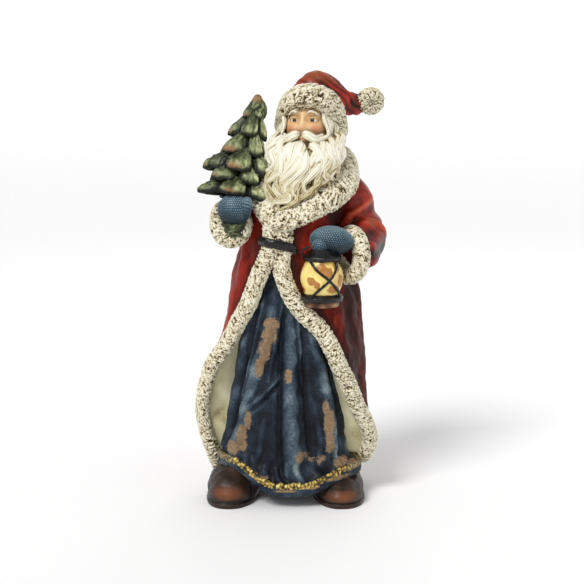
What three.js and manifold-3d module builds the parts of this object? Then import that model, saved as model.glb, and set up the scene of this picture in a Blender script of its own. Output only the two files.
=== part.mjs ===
// A Father Christmas figurine, cast in one piece and painted: a bearded man in a fur-trimmed hat and coat
// over a long gown, a fir tree in one mitten and a storm lantern in the other, on two boots.
// Millimetres, +Z up, the figure faces -Y. The origin is on the ground, at the middle of the outline. Left
// and right are as seen from in front.
import * as THREE from "three";
import { ParametricGeometry } from "three/addons/geometries/ParametricGeometry.js";
import { mergeVertices } from "three/addons/utils/BufferGeometryUtils.js";
import Module from "manifold-3d";

const wasm = await Module();
wasm.setup();
const V = (x, y, z) => new THREE.Vector3(x, y, z);
const TURN = 2 * Math.PI;
const RAD = Math.PI / 180;

// Driving dimensions.
const COAT_HEM_Z = 27;
const COAT_HEM_LIFT = 15; // the coat's hem lifts this much at its right front corner
const NECK_Z = 330;
const HEM_FRONT_Z = 13;
const HEM_RISE = { left: 20, right: 11 }; // the gown's hem lifts this much over the boots
const HEM_FALL = 15; // and falls this much behind
const GOWN_SIDE = 62; // the gown's half width where it goes in under the coat
const FUR_BAND = { width: 17.5, thick: 15 };
const COAT_WALL = 7;
const COAT_FLAP = 30; // how far the coat's inside is drawn in, past the wall, to meet the gown

// Body tables. Each row is a height, then the middle x and y and the half sizes there.
const GOWN = [
  [0, -1, 0, 75, 74, 58],
  [9, -1, 0, 75, 74, 57],
  [20, -7, 0, 66, 64, 50],
  [34, -6, 0, 62, 64, 51],
  [60, -6, 0, 59, 63, 50],
  [84, -7, 0, 56, 61, 49],
  [110, -8, 0, 53, 59, 47],
  [140, -9, 0, 49, 56, 46],
  [190, -8, 0, 42, 51, 42],
  [230, -6, 0, 39, 45, 38],
  [270, 4, 0, 40, 38, 36],
  [320, 14, 2, 30, 26, 26],
];
const COAT = [
  [24, 1.5, 3, 71.5, 66],
  [60, 2.2, 3, 68.2, 65],
  [95, 2.2, 3, 67.2, 62],
  [139, 1.5, 3, 68.5, 57],
  [177, 3.5, 2, 64.5, 53],
  [210, 4, 1, 62.5, 50],
  [230, 3, 0, 57.5, 48],
  [247, 2, 0, 52, 46],
  [262, 0, 0, 50, 45],
  [285, 3, 0, 52, 44],
  [305, 8, 2, 54, 41],
  [322, 12, 3, 44, 34],
  [335, 14, 4, 24, 22],
];
// The coat's two front edges, from the hem to the neck.
const EDGE_LEFT = [
  [27, -75, 3], [43, -79.5, -3], [63, -85.5, -8], [95, -88.5, -12], [127, -80.5, -21], [149, -69, -30],
  [171, -55, -39], [192, -45, -46], [213, -36, -51], [235, -27, -53], [258, -20, -52], [NECK_Z, -14, -42],
];
const EDGE_RIGHT = [
  [44, 76, -16], [55, 79.5, -21], [68, 77, -27], [90, 68, -34], [112, 59, -42], [133, 49, -48],
  [154, 41, -52], [174, 28, -54], [192, 12, -55], [213, -3, -55], [235, -9, -54], [258, -6, -52],
  [NECK_Z, -6, -42],
];

// Reads a table at a height, with a smooth curve through its rows.
function read(table, at) {
  const last = table.length - 1;
  const t = Math.min(Math.max(at, table[0][0]), table[last][0]);
  let i = 0;
  while (i < last - 1 && t > table[i + 1][0]) i += 1;
  const row = (k) => table[Math.min(Math.max(k, 0), last)];
  const [a, b] = [row(i), row(i + 1)];
  const span = b[0] - a[0];
  const s = (t - a[0]) / span;
  return a.slice(1).map((value, k) => {
    const slope = (lo, hi) => (hi[0] === lo[0] ? 0 : (hi[k + 1] - lo[k + 1]) / (hi[0] - lo[0]));
    const m0 = slope(row(i - 1), b) * span;
    const m1 = slope(a, row(i + 2)) * span;
    const [s2, s3] = [s * s, s * s * s];
    const ends = (2 * s3 - 3 * s2 + 1) * value + (3 * s2 - 2 * s3) * b[k + 1];
    return ends + (s3 - 2 * s2 + s) * m0 + (s3 - s2) * m1;
  });
}
const smooth = (lo, hi, x) => {
  const t = Math.min(Math.max((x - lo) / (hi - lo), 0), 1);
  return t * t * (3 - 2 * t);
};
const mix = (a, b, t) => a + (b - a) * t;

// A closed surface from a function of two parameters, both from 0 to 1, as a solid.
function solid(place, around, along) {
  const geometry = new ParametricGeometry((u, v, p) => p.copy(place(u === 1 ? 0 : u, v)), around, along);
  geometry.deleteAttribute("normal");
  geometry.deleteAttribute("uv");
  return solidOf(geometry);
}
function solidOf(geometry) {
  const merged = mergeVertices(geometry, 1e-3);
  const index = Array.from(merged.index.array);
  const kept = [];
  for (let i = 0; i < index.length; i += 3) {
    const [a, b, c] = index.slice(i, i + 3);
    if (a !== b && b !== c && a !== c) kept.push(a, b, c);
  }
  const make = (verts) =>
    new wasm.Manifold(new wasm.Mesh({
      numProp: 3,
      vertProperties: merged.attributes.position.array,
      triVerts: new Uint32Array(verts),
    }));
  const made = make(kept);
  if (made.volume() > 0) return made;
  for (let i = 0; i < kept.length; i += 3) [kept[i + 1], kept[i + 2]] = [kept[i + 2], kept[i + 1]];
  return make(kept);
}
function placed(geometry, move) {
  geometry.deleteAttribute("normal");
  geometry.deleteAttribute("uv");
  return solidOf(geometry.applyMatrix4(move));
}
const joined = (parts) => parts.reduce((whole, next) => whole.add(next));

// Two unit vectors across a path: one along the surface it lies on, one out of it.
function across(tangent, out) {
  const side = tangent.clone().cross(out).normalize();
  return [side, side.clone().cross(tangent).normalize()];
}
// A rod along a curve with an oval section and round ends. halves(t) gives the section's half sizes, along
// the surface and out of it, and out(point, t) the way out.
function rod(curve, halves, out, around, along, lump = () => 0) {
  return solid((u, v) => {
    const t = mix(0.0005, 0.9995, v);
    const c = curve.getPointAt(t);
    const [side, up] = across(curve.getTangentAt(t), out(c, t));
    const [a, b] = halves(t);
    const cap = v === 0 || v === 1 ? 0 : 1;
    const grow = 1 + lump(u, v);
    return c
      .addScaledVector(side, cap * grow * a * Math.cos(TURN * u))
      .addScaledVector(up, cap * grow * b * Math.sin(TURN * u));
  }, around, along);
}
// The same along a closed curve.
function ring(curve, halves, out, around, along, lump = () => 0) {
  const place = (u, v) => {
    const t = v === 1 ? 0 : v;
    const c = curve.getPointAt(t);
    const [side, up] = across(curve.getTangentAt(t), out(c, t));
    const [a, b] = halves(t);
    const grow = 1 + lump(u, t);
    return c
      .addScaledVector(side, grow * a * Math.cos(TURN * u))
      .addScaledVector(up, grow * b * Math.sin(TURN * u));
  };
  return solid(place, around, along);
}
// Fur in coarse tufts: a wave round the band and along it, out of step from row to row.
const tufts = (rows, depth) => (u, v) => {
  const along = Math.sin(TURN * rows * v + 4 * Math.sin(TURN * 2 * u));
  return depth * along * Math.cos(TURN * (2 * u + rows * v * 0.37));
};

// Gown. Its folds are ridges whose angle from the front changes with height. Each has a row of heights and
// angles, its width in degrees and its rise.
const RIDGES = [
  [[[40, -78], [100, -64], [150, -50], [230, -40]], 9, 7],
  [[[40, -52], [60, -49], [84, -42], [108, -37], [137, -29], [182, -14], [235, -6]], 10, 11],
  [[[20, 11], [40, 9], [69, 7], [108, 8], [132, 9], [161, 12], [235, 10]], 9, 10],
  [[[40, 49], [79, 50], [108, 49], [132, 45], [166, 38], [235, 24]], 9, 10],
  [[[30, 76], [70, 74], [112, 70], [235, 56]], 9, 6],
];
function gownFold(angle, z) {
  const depth = smooth(240, 130, z);
  const back = smooth(75, 110, Math.abs(angle)) * 2.5 * Math.cos(9 * angle * RAD);
  const front = RIDGES.reduce((sum, [path, width, rise]) => {
    const off = (angle - read(path, z)[0]) / width;
    return sum + rise * Math.exp(-off * off);
  }, -5);
  return depth * mix(front, back, smooth(75, 100, Math.abs(angle)));
}
const hemZ = (angle) => {
  const away = Math.abs(angle);
  const rise = angle < 0 ? HEM_RISE.left : HEM_RISE.right;
  return HEM_FRONT_Z + mix(rise, HEM_RISE.left, smooth(75, 100, away)) * smooth(10, 48, away)
    - HEM_FALL * smooth(110, 150, away);
};
function gownPoint(u, v) {
  const share = 2 * u - 1;
  const angle = 180 * (0.62 * share + 0.38 * share ** 5);
  const top = 325;
  const low = hemZ(angle);
  if (v === 0) return V(-1, -6, 34);
  if (v === 1) return V(14, 2, top);
  const height = (top - low) * ((v - 0.03) / 0.97) ** 1.15;
  const z = low + height;
  const [cx, cy, ax, front, back] = read(GOWN, height);
  const by = mix(front, back, smooth(60, 120, Math.abs(angle)));
  const fold = gownFold(angle, z) * smooth(8, 34, height);
  const tuck = Math.max(ax - GOWN_SIDE, 0) * smooth(70, 92, Math.abs(angle));
  return V(cx + (ax + fold - tuck) * Math.sin(angle * RAD), cy - (by + fold) * Math.cos(angle * RAD), z);
}

// Coat: a wall that starts at the left front edge, goes round the back and ends at the right front edge.
function coatPoint(u, v) {
  const outside = u < 0.5;
  const t = outside ? 2 * u : 2 - 2 * u;
  const z = mix(COAT_HEM_Z + COAT_HEM_LIFT * smooth(0.72, 1, v), NECK_Z, t ** 0.92);
  const [cx, cy, ax, by] = read(COAT, z);
  const [lx, ly] = read(EDGE_LEFT, z);
  const [rx, ry] = read(EDGE_RIGHT, z);
  const start = Math.atan2((ly - cy) / by, (lx - cx) / ax);
  const stop = Math.atan2((ry - cy) / by, (rx - cx) / ax);
  const from = start > 0 ? start - TURN : start;
  const upTo = stop - TURN;
  const [left, right] = [-190 * RAD, -350 * RAD];
  const side = 0.22;
  let angle = mix(left, right, (v - side) / (1 - 2 * side));
  if (v < side) angle = mix(from, left, v / side);
  if (v > 1 - side) angle = mix(right, upTo, (v - 1 + side) / side);
  const pleat = 4 * Math.cos(7 * angle + 0.5) * smooth(0, 0.12, v) * smooth(1, 0.88, v) * smooth(255, 120, z);
  const on = (a, r) => [cx + (ax + r) * Math.cos(a), cy + (by + r) * Math.sin(a)];
  const [x, y] = on(angle, pleat);
  const [sx, sy] = on(from, 0);
  const [ex, ey] = on(stop, 0);
  const near = (s) => smooth(0.24, 0, s);
  const px = x + (lx - sx) * near(v) + (rx - ex) * near(1 - v);
  const py = y + (ly - sy) * near(v) + (ry - ey) * near(1 - v);
  const end = smooth(0, 0.05, v) * smooth(1, 0.95, v) * smooth(0, 0.02, t) * smooth(1, 0.98, t);
  const deep = smooth(0, 0.07, v) * smooth(1, 0.93, v) * COAT_FLAP;
  const wall = end * (COAT_WALL + deep) * (outside ? 0 : 1);
  const inward = V(cx - px, cy - py, 0).normalize();
  return V(px, py, z).addScaledVector(inward, wall);
}

// Fur band down both front edges and round the hem.
const outOfBody = (c) => {
  const [cx, cy] = read(COAT, c.z);
  return V(c.x - cx, 1.6 * (c.y - cy), 0).normalize();
};
const HEM_BACK = [
  V(-72, 14, 24), V(-66, 36, 24), V(-44, 60, 25), V(2, 71, 27), V(46, 60, 29), V(68, 35, 32), V(75, 10, 35),
  V(75, -6, 38),
];
function edgeBand() {
  const left = EDGE_LEFT.slice(0, -1).map(([z, x, y]) => V(x, y, z)).reverse();
  const right = EDGE_RIGHT.slice(0, -1).map(([z, x, y]) => V(x, y, z));
  const points = [V(-18, -46, 284), ...left, ...HEM_BACK, ...right, V(-10, -46, 284)];
  const curve = new THREE.CatmullRomCurve3(points);
  const halves = () => [FUR_BAND.width / 2, FUR_BAND.thick / 2];
  return rod(curve, halves, outOfBody, 5, 62, tufts(44, 0.1));
}

// Fur collar round the shoulders.
const COLLAR = [
  V(-14, -50, 281), V(2, -52, 286), V(20, -50, 294), V(39, -43, 303), V(53.5, -27, 316), V(56.5, -6, 328),
  V(53, 16, 336), V(36, 33, 340), V(12, 39, 342), V(-16, 31, 338), V(-34, 14, 332), V(-37, -12, 322),
  V(-31, -36, 306), V(-22, -47, 292),
];
function collar() {
  const curve = new THREE.CatmullRomCurve3(COLLAR, true);
  const out = (c) => V(c.x - 12, 1.2 * c.y, 24).normalize();
  return ring(curve, () => [13.5, 9], out, 6, 30, tufts(24, 0.1));
}

// Sleeves, cuffs and mittens.
const SLEEVE_RIGHT = [
  V(38, 2, 312), V(56, 6, 304), V(64.5, 8, 286), V(68, 9, 265), V(66.5, -6, 253), V(60, -27, 246),
];
const SLEEVE_LEFT = [
  V(-20, 4, 312), V(-42, 8, 300), V(-52, 10, 285), V(-54, 4, 273), V(-56, -14, 271), V(-58, -30, 275),
];
const SLEEVE_SIZES = [[0, 13], [0.2, 18], [0.45, 20], [0.66, 25.5], [0.85, 25], [1, 21]];
function sleeve(points, side, scale) {
  const curve = new THREE.CatmullRomCurve3(points);
  const halves = (t) => {
    const r = read(SLEEVE_SIZES, t)[0] * scale;
    return [r, r];
  };
  const creases = (u, v) => 0.07 * Math.sin(TURN * (3 * v + u)) * smooth(0.2, 0.5, v);
  return rod(curve, halves, (c, t) => V(side * mix(0.3, 1, t), -1 + t, 0.2), 10, 10, creases);
}
function cuff(centre, axis, wide, tall, thick, length) {
  const level = axis.clone().cross(V(0, 0, 1)).normalize();
  const up = level.clone().cross(axis).normalize();
  const points = Array.from({ length: 12 }, (_, k) => {
    const a = (TURN * k) / 12;
    return centre.clone().addScaledVector(level, wide * Math.cos(a)).addScaledVector(up, tall * Math.sin(a));
  });
  const curve = new THREE.CatmullRomCurve3(points, true);
  const out = (c) => c.clone().sub(centre).normalize();
  return ring(curve, () => [length / 2, thick / 2], out, 6, 16, tufts(11, 0.12));
}
// A ball squeezed to three half sizes and turned, for fists, thumbs and the like.
function ball(centre, half, turn, around = 11, along = 7) {
  const move = new THREE.Matrix4().compose(centre, new THREE.Quaternion().setFromEuler(turn), half);
  return placed(new THREE.SphereGeometry(1, around, along), move);
}

// Fir tree in six tiers of drooping boughs on a leaning trunk. reach is how far the boughs stand out to the
// left; to the right, and front to back, they are shorter.
const TREE_FOOT = V(-55, -50, 264);
const TREE_TIP = V(-31, -14, 398);
const TIERS = [
  { at: 0.325, reach: 39, tall: 26, boughs: 5, turn: 180 },
  { at: 0.42, reach: 36, tall: 28, boughs: 5, turn: 215 },
  { at: 0.5, reach: 39, tall: 32, boughs: 5, turn: 178 },
  { at: 0.62, reach: 29, tall: 30, boughs: 5, turn: 210 },
  { at: 0.755, reach: 22, tall: 28, boughs: 4, turn: 190 },
  { at: 0.875, reach: 13, tall: 20, boughs: 4, turn: 150 },
];
// A bough's section from the trunk along its underside, round its lip and back up to the trunk: how far out,
// and how high as a share of the tier's height.
const BOUGH = [[0, 0.1], [0.93, -0.25], [1, -0.06], [0.82, 0.16], [0.46, 0.44], [0, 0.95]];
function tier({ at, reach, tall, boughs, turn }) {
  const lean = TREE_TIP.clone().sub(TREE_FOOT).normalize();
  const foot = TREE_FOOT.clone().lerp(TREE_TIP, at);
  const [side, front] = across(lean, V(0, -1, 0));
  return solid((u, v) => {
    const angle = TURN * u + turn * RAD;
    const bough = (0.5 + 0.5 * Math.cos(boughs * TURN * u)) ** 0.7;
    const [s, rise] = BOUGH[Math.round(v * (BOUGH.length - 1))];
    const cut = mix(1, 0.6 + 0.4 * bough, s);
    const radius = reach * s * cut * (0.82 - 0.18 * Math.cos(angle));
    const height = tall * rise;
    const droop = 3 * bough * s * s;
    return foot
      .clone()
      .addScaledVector(side, radius * Math.cos(angle))
      .addScaledVector(front, 0.72 * radius * Math.sin(angle))
      .addScaledVector(lean, height - droop);
  }, 4 * boughs, BOUGH.length - 1);
}
function tree() {
  const curve = new THREE.CatmullRomCurve3([TREE_FOOT, TREE_TIP]);
  const halves = (t) => [mix(13, 3, t), mix(11, 3, t)];
  const top = ball(V(-32.5, -16, 386), V(9, 8, 12.5), new THREE.Euler(0, 0, 0), 8, 6);
  return joined([rod(curve, halves, () => V(0, -1, 0), 7, 3), top, ...TIERS.map(tier)]);
}

// Head, hat and beard.
const HEAD = V(18, -8, 370);
// The hat's band: its middle, its half width and half depth, and how far it rises in front and falls behind.
const HAT_RING = { centre: V(20, -1, 374), wide: 27, deep: 35, rise: 22, bow: 3, roll: 6 };
function bandPoint(turn) {
  const { centre, wide, deep, rise, bow, roll } = HAT_RING;
  const x = wide * Math.sin(turn);
  const z = rise * Math.cos(turn) + bow * Math.cos(2 * turn) - x * Math.tan(roll * RAD);
  return V(centre.x + x, centre.y - deep * Math.cos(turn), centre.z + z);
}
function hatBand() {
  const points = Array.from({ length: 16 }, (_, k) => bandPoint((TURN * k) / 16));
  const out = (c) => V(c.x - HAT_RING.centre.x, 0.75 * (c.y - HAT_RING.centre.y), 7).normalize();
  return ring(new THREE.CatmullRomCurve3(points, true), () => [12, 9], out, 6, 26, tufts(20, 0.1));
}
function hatCrown() {
  const points = [V(20, 8, 366), V(20, 8, 387), V(27, 6, 403), V(43, 5, 397), V(56, 5, 390), V(71, 5, 391)];
  const curve = new THREE.CatmullRomCurve3(points);
  const sizes = [[0, 26], [0.22, 27], [0.42, 20], [0.58, 15], [0.78, 12], [1, 8]];
  const wave = (u, v) => Math.sin(TURN * (2.5 * v + 1.5 * Math.sin(TURN * u)));
  const creases = (u, v) => 0.07 * wave(u, v) * smooth(0.3, 0.6, v);
  const halves = (t) => [read(sizes, t)[0], read(sizes, t)[0] * 0.95];
  const base = ball(V(20, 6, 376), V(28, 32, 26), new THREE.Euler(-30 * RAD, 0, 0));
  return base.add(rod(curve, halves, () => V(0, -1, 0), 12, 10, creases));
}
// Face: an oval with brow, cheeks and nose pushed out of it.
const FACE_TURN = -14;
const FACE_LIFT = -8;
function head() {
  return solid((u, v) => {
    const round = TURN * u;
    const lift = Math.PI * (v - 0.5);
    const n = V(Math.cos(lift) * Math.sin(round), -Math.cos(lift) * Math.cos(round), Math.sin(lift));
    const [side, height] = [n.x * 24, n.z * 31];
    const hump = (x, z, rx, rz) => Math.exp(-(((side - x) / rx) ** 2) - ((height - z) / rz) ** 2);
    const pair = (x, z, rx, rz) => hump(x, z, rx, rz) + hump(-x, z, rx, rz);
    const nose = 7.5 * hump(0, -3, 5, 7);
    const brow = 2.5 * hump(0, 13, 16, 3.5);
    const features = nose + brow + 3 * pair(11, -5, 7, 5) - 2 * pair(8, 5, 5, 4);
    const p = V(side, n.y * 29 - (n.y < 0 ? features : 0), height);
    p.applyAxisAngle(V(1, 0, 0), FACE_LIFT * RAD);
    return p.applyAxisAngle(V(0, 0, 1), FACE_TURN * RAD).add(HEAD);
  }, 16, 11);
}
// Beard: a height, the middle x and y and the half sizes there.
const BEARD = [
  [280, -12, -40, 5, 14],
  [288, -6, -38, 14, 18],
  [296, -2, -37, 24, 21],
  [306, 3, -36, 31, 22],
  [314, 6.5, -35, 35, 23],
  [333, 11.5, -32, 36, 27],
  [346, 14, -28, 37, 26],
  [356, 16, -22, 35, 22],
  [368, 18, -14, 30, 16],
];
const BEARD_TIP = -0.25; // the share of the half width at which the beard is longest
// Locks run down the beard and swing left and right as they go; between them it is cut in.
function lockDepth(share, drop) {
  const swing = 0.09 * Math.sin(TURN * 1.4 * drop + 6 * share) * (0.3 + drop);
  const strand = Math.cos(TURN * 5.5 * (share + swing));
  return 2.6 * strand * smooth(0.12, 0.4, drop) - 0.6;
}
function beard() {
  const rows = 10;
  return solid((u, v) => {
    if (v === 0) return V(-6, -38, 292);
    if (v === 1) return V(18, -14, 352);
    const turn = mix(-150, 150, u) * RAD;
    const share = Math.sin(Math.min(Math.max(turn, -Math.PI / 2), Math.PI / 2));
    const tuft = 3.5 * Math.cos(TURN * 5.5 * share);
    const foot = 281 + 34 * Math.abs(share - BEARD_TIP) ** 1.6 - tuft * 0.5;
    const brim = 350 + 17 * share ** 2;
    const drop = 1 - (v * rows - 1) / (rows - 2);
    const z = mix(brim, foot, drop);
    const [cx, cy, ax, by] = read(BEARD, z);
    const cut = lockDepth(share, drop) * Math.max(0, Math.cos(turn * 0.9));
    return V(cx + ax * Math.sin(turn), cy - (by + cut) * Math.cos(turn), z);
  }, 28, rows);
}
function moustache() {
  const half = (sign) => {
    const rows = [[0, -46, 361], [8, -47, 358.5], [16, -43, 354], [24, -36, 353]];
    const points = rows.map(([x, y, z]) => V(12 + sign * x, y, z));
    const halves = (t) => [5 * (1 - 0.6 * t), 4 * (1 - 0.6 * t)];
    return rod(new THREE.CatmullRomCurve3(points), halves, () => V(0, -1, 0.2), 6, 7);
  };
  return joined([half(-1), half(1)]);
}

// Storm lantern: cap, glass, base and the crossed wires of its guard.
const LANTERN = V(29.5, -56, 198.5);
// The two crossed straps: the angle from the front, the radius and the height above the base.
const STRAPS = [
  [[-0.85, 16.5, 46], [-0.28, 19, 37], [0.34, 20.8, 27], [0.85, 19.6, 17], [1.1, 19.4, 9]],
  [[1.05, 16.5, 46], [0.76, 19, 37], [0.34, 20.8, 27], [-0.12, 19.6, 18.5], [-0.66, 19.4, 9]],
];
function lantern() {
  const profile = [
    [0, 0], [16.5, 0], [16.5, 5], [19.5, 6], [19.5, 10], [16, 12], [19.2, 20], [20.4, 28], [18, 38], [14, 45],
    [17.5, 46], [17.5, 49], [11, 55], [0, 58],
  ].map(([r, z]) => new THREE.Vector2(r, z));
  const body = new THREE.LatheGeometry(profile, 12).rotateX(Math.PI / 2);
  const guard = STRAPS.map((strap) => {
    const points = strap.map(([a, r, z]) => LANTERN.clone().add(V(r * Math.sin(a), -r * Math.cos(a), z)));
    return rod(new THREE.CatmullRomCurve3(points), () => [1.6, 1.6], () => V(0, -1, 0), 4, 5);
  });
  return joined([placed(body, new THREE.Matrix4().makeTranslation(LANTERN)), ...guard]);
}

// Boots: a sole and a round toe, splayed a little. Each row is a height and the share of the half sizes; the
// toe's heights are taken times its own share, toe.
function boot(x, splay, toe) {
  const half = { wide: 26, front: 57, back: 50 };
  const rows = [
    [0, 0.9], [0, 0.97], [4, 0.99], [5.5, 0.93], [14, 0.96], [22, 0.87], [28, 0.7], [33, 0.47], [37, 0.2],
  ];
  const shape = solid((u, v) => {
    const t = TURN * u;
    const [z, s] = rows[Math.round(v * (rows.length - 1))];
    const cap = v === 0 || v === 1 ? 0 : 1;
    const [c, d] = [Math.cos(t), Math.sin(t)];
    const reach = d < 0 ? s ** 0.5 * half.front : half.back;
    const height = z > 5 ? z * mix(1, toe, cap * smooth(0.3, -0.5, d)) : z;
    const w = cap * s * half.wide * Math.sign(c) * Math.abs(c) ** 0.85;
    return V(w, cap * reach * Math.sign(d) * Math.abs(d) ** 0.8, height);
  }, 12, rows.length - 1);
  return shape.rotate([0, 0, splay]).translate([x, -15, 0]);
}

// Belt across the front.
function belt() {
  const points = [V(-30, -50, 261), V(-23, -59, 260), V(-12, -61.5, 258), V(-3, -60, 256), V(2, -56, 254.5)];
  return rod(new THREE.CatmullRomCurve3(points), () => [4.6, 3], outOfBody, 6, 6);
}

const parts = [
  solid(gownPoint, 36, 14),
  solid(coatPoint, 20, 24),
  edgeBand(),
  collar(),
  sleeve(SLEEVE_RIGHT, 1, 1),
  sleeve(SLEEVE_LEFT, -1, 0.73),
  cuff(V(58, -31, 244.5), V(-0.85, -0.5, 0.1).normalize(), 21.5, 22.5, 13, 17),
  cuff(V(-58, -38, 276.5), V(0.15, -0.8, 0.6).normalize(), 13.5, 18.5, 15, 20),
  ball(V(39, -50, 261), V(21, 16, 14), new THREE.Euler(0, 0.1, 0)),
  ball(V(-54, -52, 291), V(16, 15, 15), new THREE.Euler(0, 0, 0)),
  ball(V(-57, -51, 271), V(12, 10, 12), new THREE.Euler(0, 0, 0), 9, 6),
  tree(),
  head(),
  hatCrown(),
  hatBand(),
  ball(V(78.3, 5, 392.5), V(14.3, 14.3, 14.3), new THREE.Euler(0, 0, 0)),
  beard(),
  moustache(),
  lantern(),
  belt(),
  boot(-57, -6, 1),
  boot(47, 4, 0.76),
];
// The pieces are cast as one: slivers left inside where they meet are dropped.
const larger = (a, b) => (b.volume() > a.volume() ? b : a);
const largest = (whole) => whole.decompose().reduce(larger);
const SLIVER = 0.7;
const cast = largest(largest(joined(parts)).simplify(SLIVER));

const { min, max } = cast.boundingBox();
const mesh = cast.translate([-(min[0] + max[0]) / 2, -(min[1] + max[1]) / 2, -min[2]]).getMesh();

const shape = new THREE.BufferGeometry()
  .setAttribute("position", new THREE.BufferAttribute(mesh.vertProperties, 3))
  .setIndex(new THREE.BufferAttribute(mesh.triVerts, 1));
shape.computeVertexNormals();
const painted = new THREE.MeshStandardMaterial({ color: 0x8c3a33, roughness: 0.45, metalness: 0 });
const figure = new THREE.Mesh(shape, painted);
figure.name = "santa_figurine";
const group = new THREE.Group();
group.add(figure);
export default group;
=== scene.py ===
"""A Father Christmas figurine, one hand-painted casting: hat, beard, fur-trimmed coat over a long gown, a fir
tree in one mitten and a storm lantern in the other. Sizes are in millimetres and become metres when a mesh is
made. Left and right are as seen from in front; the figure faces -Y."""

import math

import bpy
import numpy as np
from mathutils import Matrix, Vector


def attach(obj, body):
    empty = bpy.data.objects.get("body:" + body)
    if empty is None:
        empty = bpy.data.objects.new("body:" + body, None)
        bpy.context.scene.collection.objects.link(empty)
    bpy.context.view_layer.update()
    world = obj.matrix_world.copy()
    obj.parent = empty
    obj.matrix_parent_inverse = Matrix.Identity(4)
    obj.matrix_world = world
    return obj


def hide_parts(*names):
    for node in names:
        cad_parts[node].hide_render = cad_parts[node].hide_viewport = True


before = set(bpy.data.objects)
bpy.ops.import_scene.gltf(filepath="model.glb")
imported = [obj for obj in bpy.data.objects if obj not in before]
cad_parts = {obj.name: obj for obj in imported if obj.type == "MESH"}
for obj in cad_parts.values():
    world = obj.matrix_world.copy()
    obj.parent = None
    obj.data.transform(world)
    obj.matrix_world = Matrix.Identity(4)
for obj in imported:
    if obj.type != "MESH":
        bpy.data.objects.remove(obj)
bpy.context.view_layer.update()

MM = 0.001
TURN = 2 * math.pi
NODE = "santa_figurine"
# The solid's origin is the middle of its outline, which lies here in the tables below.
MIDDLE = np.array([-1.0, 0.02, 0.0])
DOWN_FRONT = np.array([0.0, -1.0, 0.0])


# Curves and tables


def smooth(low, high, x):
    """0 below low, 1 above high, and an S-shaped rise between."""
    t = np.clip((x - low) / (high - low), 0, 1)
    return t * t * (3 - 2 * t)


def mix(a, b, t):
    """a at t = 0, b at t = 1."""
    return a + (b - a) * t


def hump(x, width):
    """A bell curve of height 1."""
    return np.exp(-((x / width) ** 2))


def held(x):
    """x kept between 0 and 1."""
    return np.clip(x, 0, 1)


def spot(x, z, px, pz, rx, rz):
    """A bell of height 1 over a plane: its place, then its width in each direction."""
    return np.exp(-(((x - px) / rx) ** 2) - ((z - pz) / rz) ** 2)


def turns(count):
    """Angles that go round once in even steps."""
    return TURN * np.arange(count) / count


def crossed(rows, cols):
    """A grid's two parameters, with one value for each point's row and one for its column. How many rows and
    columns a grid has follows the finest detail on it."""
    return np.meshgrid(rows, cols, indexing="ij")


def join(x, y, z):
    """Points from their coordinates, any of which may be one number for all."""
    return np.stack(np.broadcast_arrays(x, y, z), -1)


def apart(points):
    """The three coordinates of points."""
    return points[..., 0], points[..., 1], points[..., 2]


def hermite(knots, values, at):
    """A smooth curve through values at the knots: cubic between two knots, with the mean slope at each."""
    values = np.asarray(values, float)
    knots = np.asarray(knots, float)
    slopes = np.gradient(values, knots, axis=0)
    at = np.clip(at, knots[0], knots[-1])
    i = np.clip(np.searchsorted(knots, at, side="right") - 1, 0, len(knots) - 2)
    span = knots[i + 1] - knots[i]
    s = ((at - knots[i]) / span)[..., None]
    span = span[..., None]
    s2, s3 = s * s, s * s * s
    ends = (2 * s3 - 3 * s2 + 1) * values[i] + (3 * s2 - 2 * s3) * values[i + 1]
    return ends + (s3 - 2 * s2 + s) * slopes[i] * span + (s3 - s2) * slopes[i + 1] * span


def read(rows, at):
    """The columns of a table, read along its first column, as one array each."""
    rows = np.asarray(rows, float)
    found = hermite(rows[:, 0], rows[:, 1:], np.asarray(at, float))
    return [found[..., k] for k in range(found.shape[-1])]


def path(points, count, closed=False):
    """Evenly spaced points on a smooth curve through the given ones."""
    p = np.asarray(points, float)
    if closed:
        p = np.vstack([p[-2:], p, p[:3]])
    chord = np.sqrt(np.linalg.norm(np.diff(p, axis=0), axis=1))
    knots = np.concatenate([[0], np.cumsum(chord)])
    first, last = (knots[2], knots[-3]) if closed else (knots[0], knots[-1])
    fine = hermite(knots, p, np.linspace(first, last, 60 * len(p)))
    run = np.concatenate([[0], np.cumsum(np.linalg.norm(np.diff(fine, axis=0), axis=1))])
    at = np.linspace(0, run[-1], count, endpoint=not closed)
    return np.stack([np.interp(at, run, fine[:, k]) for k in range(3)], axis=-1)


def length_of(c):
    """How long a row of points is."""
    return float(np.linalg.norm(np.diff(c, axis=0), axis=1).sum())


def unit(v):
    """The vectors at length 1."""
    return v / np.maximum(np.linalg.norm(v, axis=-1, keepdims=True), 1e-9)


def across(c, out, closed=False):
    """Two directions square to a path: one along the surface it lies on, one out of it."""
    tangent = unit(np.roll(c, -1, 0) - np.roll(c, 1, 0) if closed else np.gradient(c, axis=0))
    side = unit(np.cross(tangent, out))
    return side, np.cross(side, tangent)


# Surfaces


def sweep(c, out, wide, high, around, closed=False):
    """An oval section carried along a path: centre + side * wide * cos + out * high * sin."""
    side, up = across(c, np.broadcast_to(out, c.shape), closed)
    turn = turns(around)[:, None]
    wide = np.broadcast_to(wide, len(c))[:, None, None]
    high = np.broadcast_to(high, len(c))[:, None, None]
    return c[:, None] + side[:, None] * wide * np.cos(turn) + up[:, None] * high * np.sin(turn)


def normals(grid, closed=False):
    """Outward directions of a grid that goes round in its second index."""
    down = np.roll(grid, -1, 0) - np.roll(grid, 1, 0) if closed else np.gradient(grid, axis=0)
    n = unit(np.cross(np.roll(grid, -1, 1) - np.roll(grid, 1, 1), down))
    out = grid - grid.mean(1, keepdims=True)
    return n * np.sign((n * out).sum() or 1)


def lift(grid, height, closed=False):
    """The grid moved outwards by height at each point."""
    return grid + normals(grid, closed) * np.asarray(height)[..., None]


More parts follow.
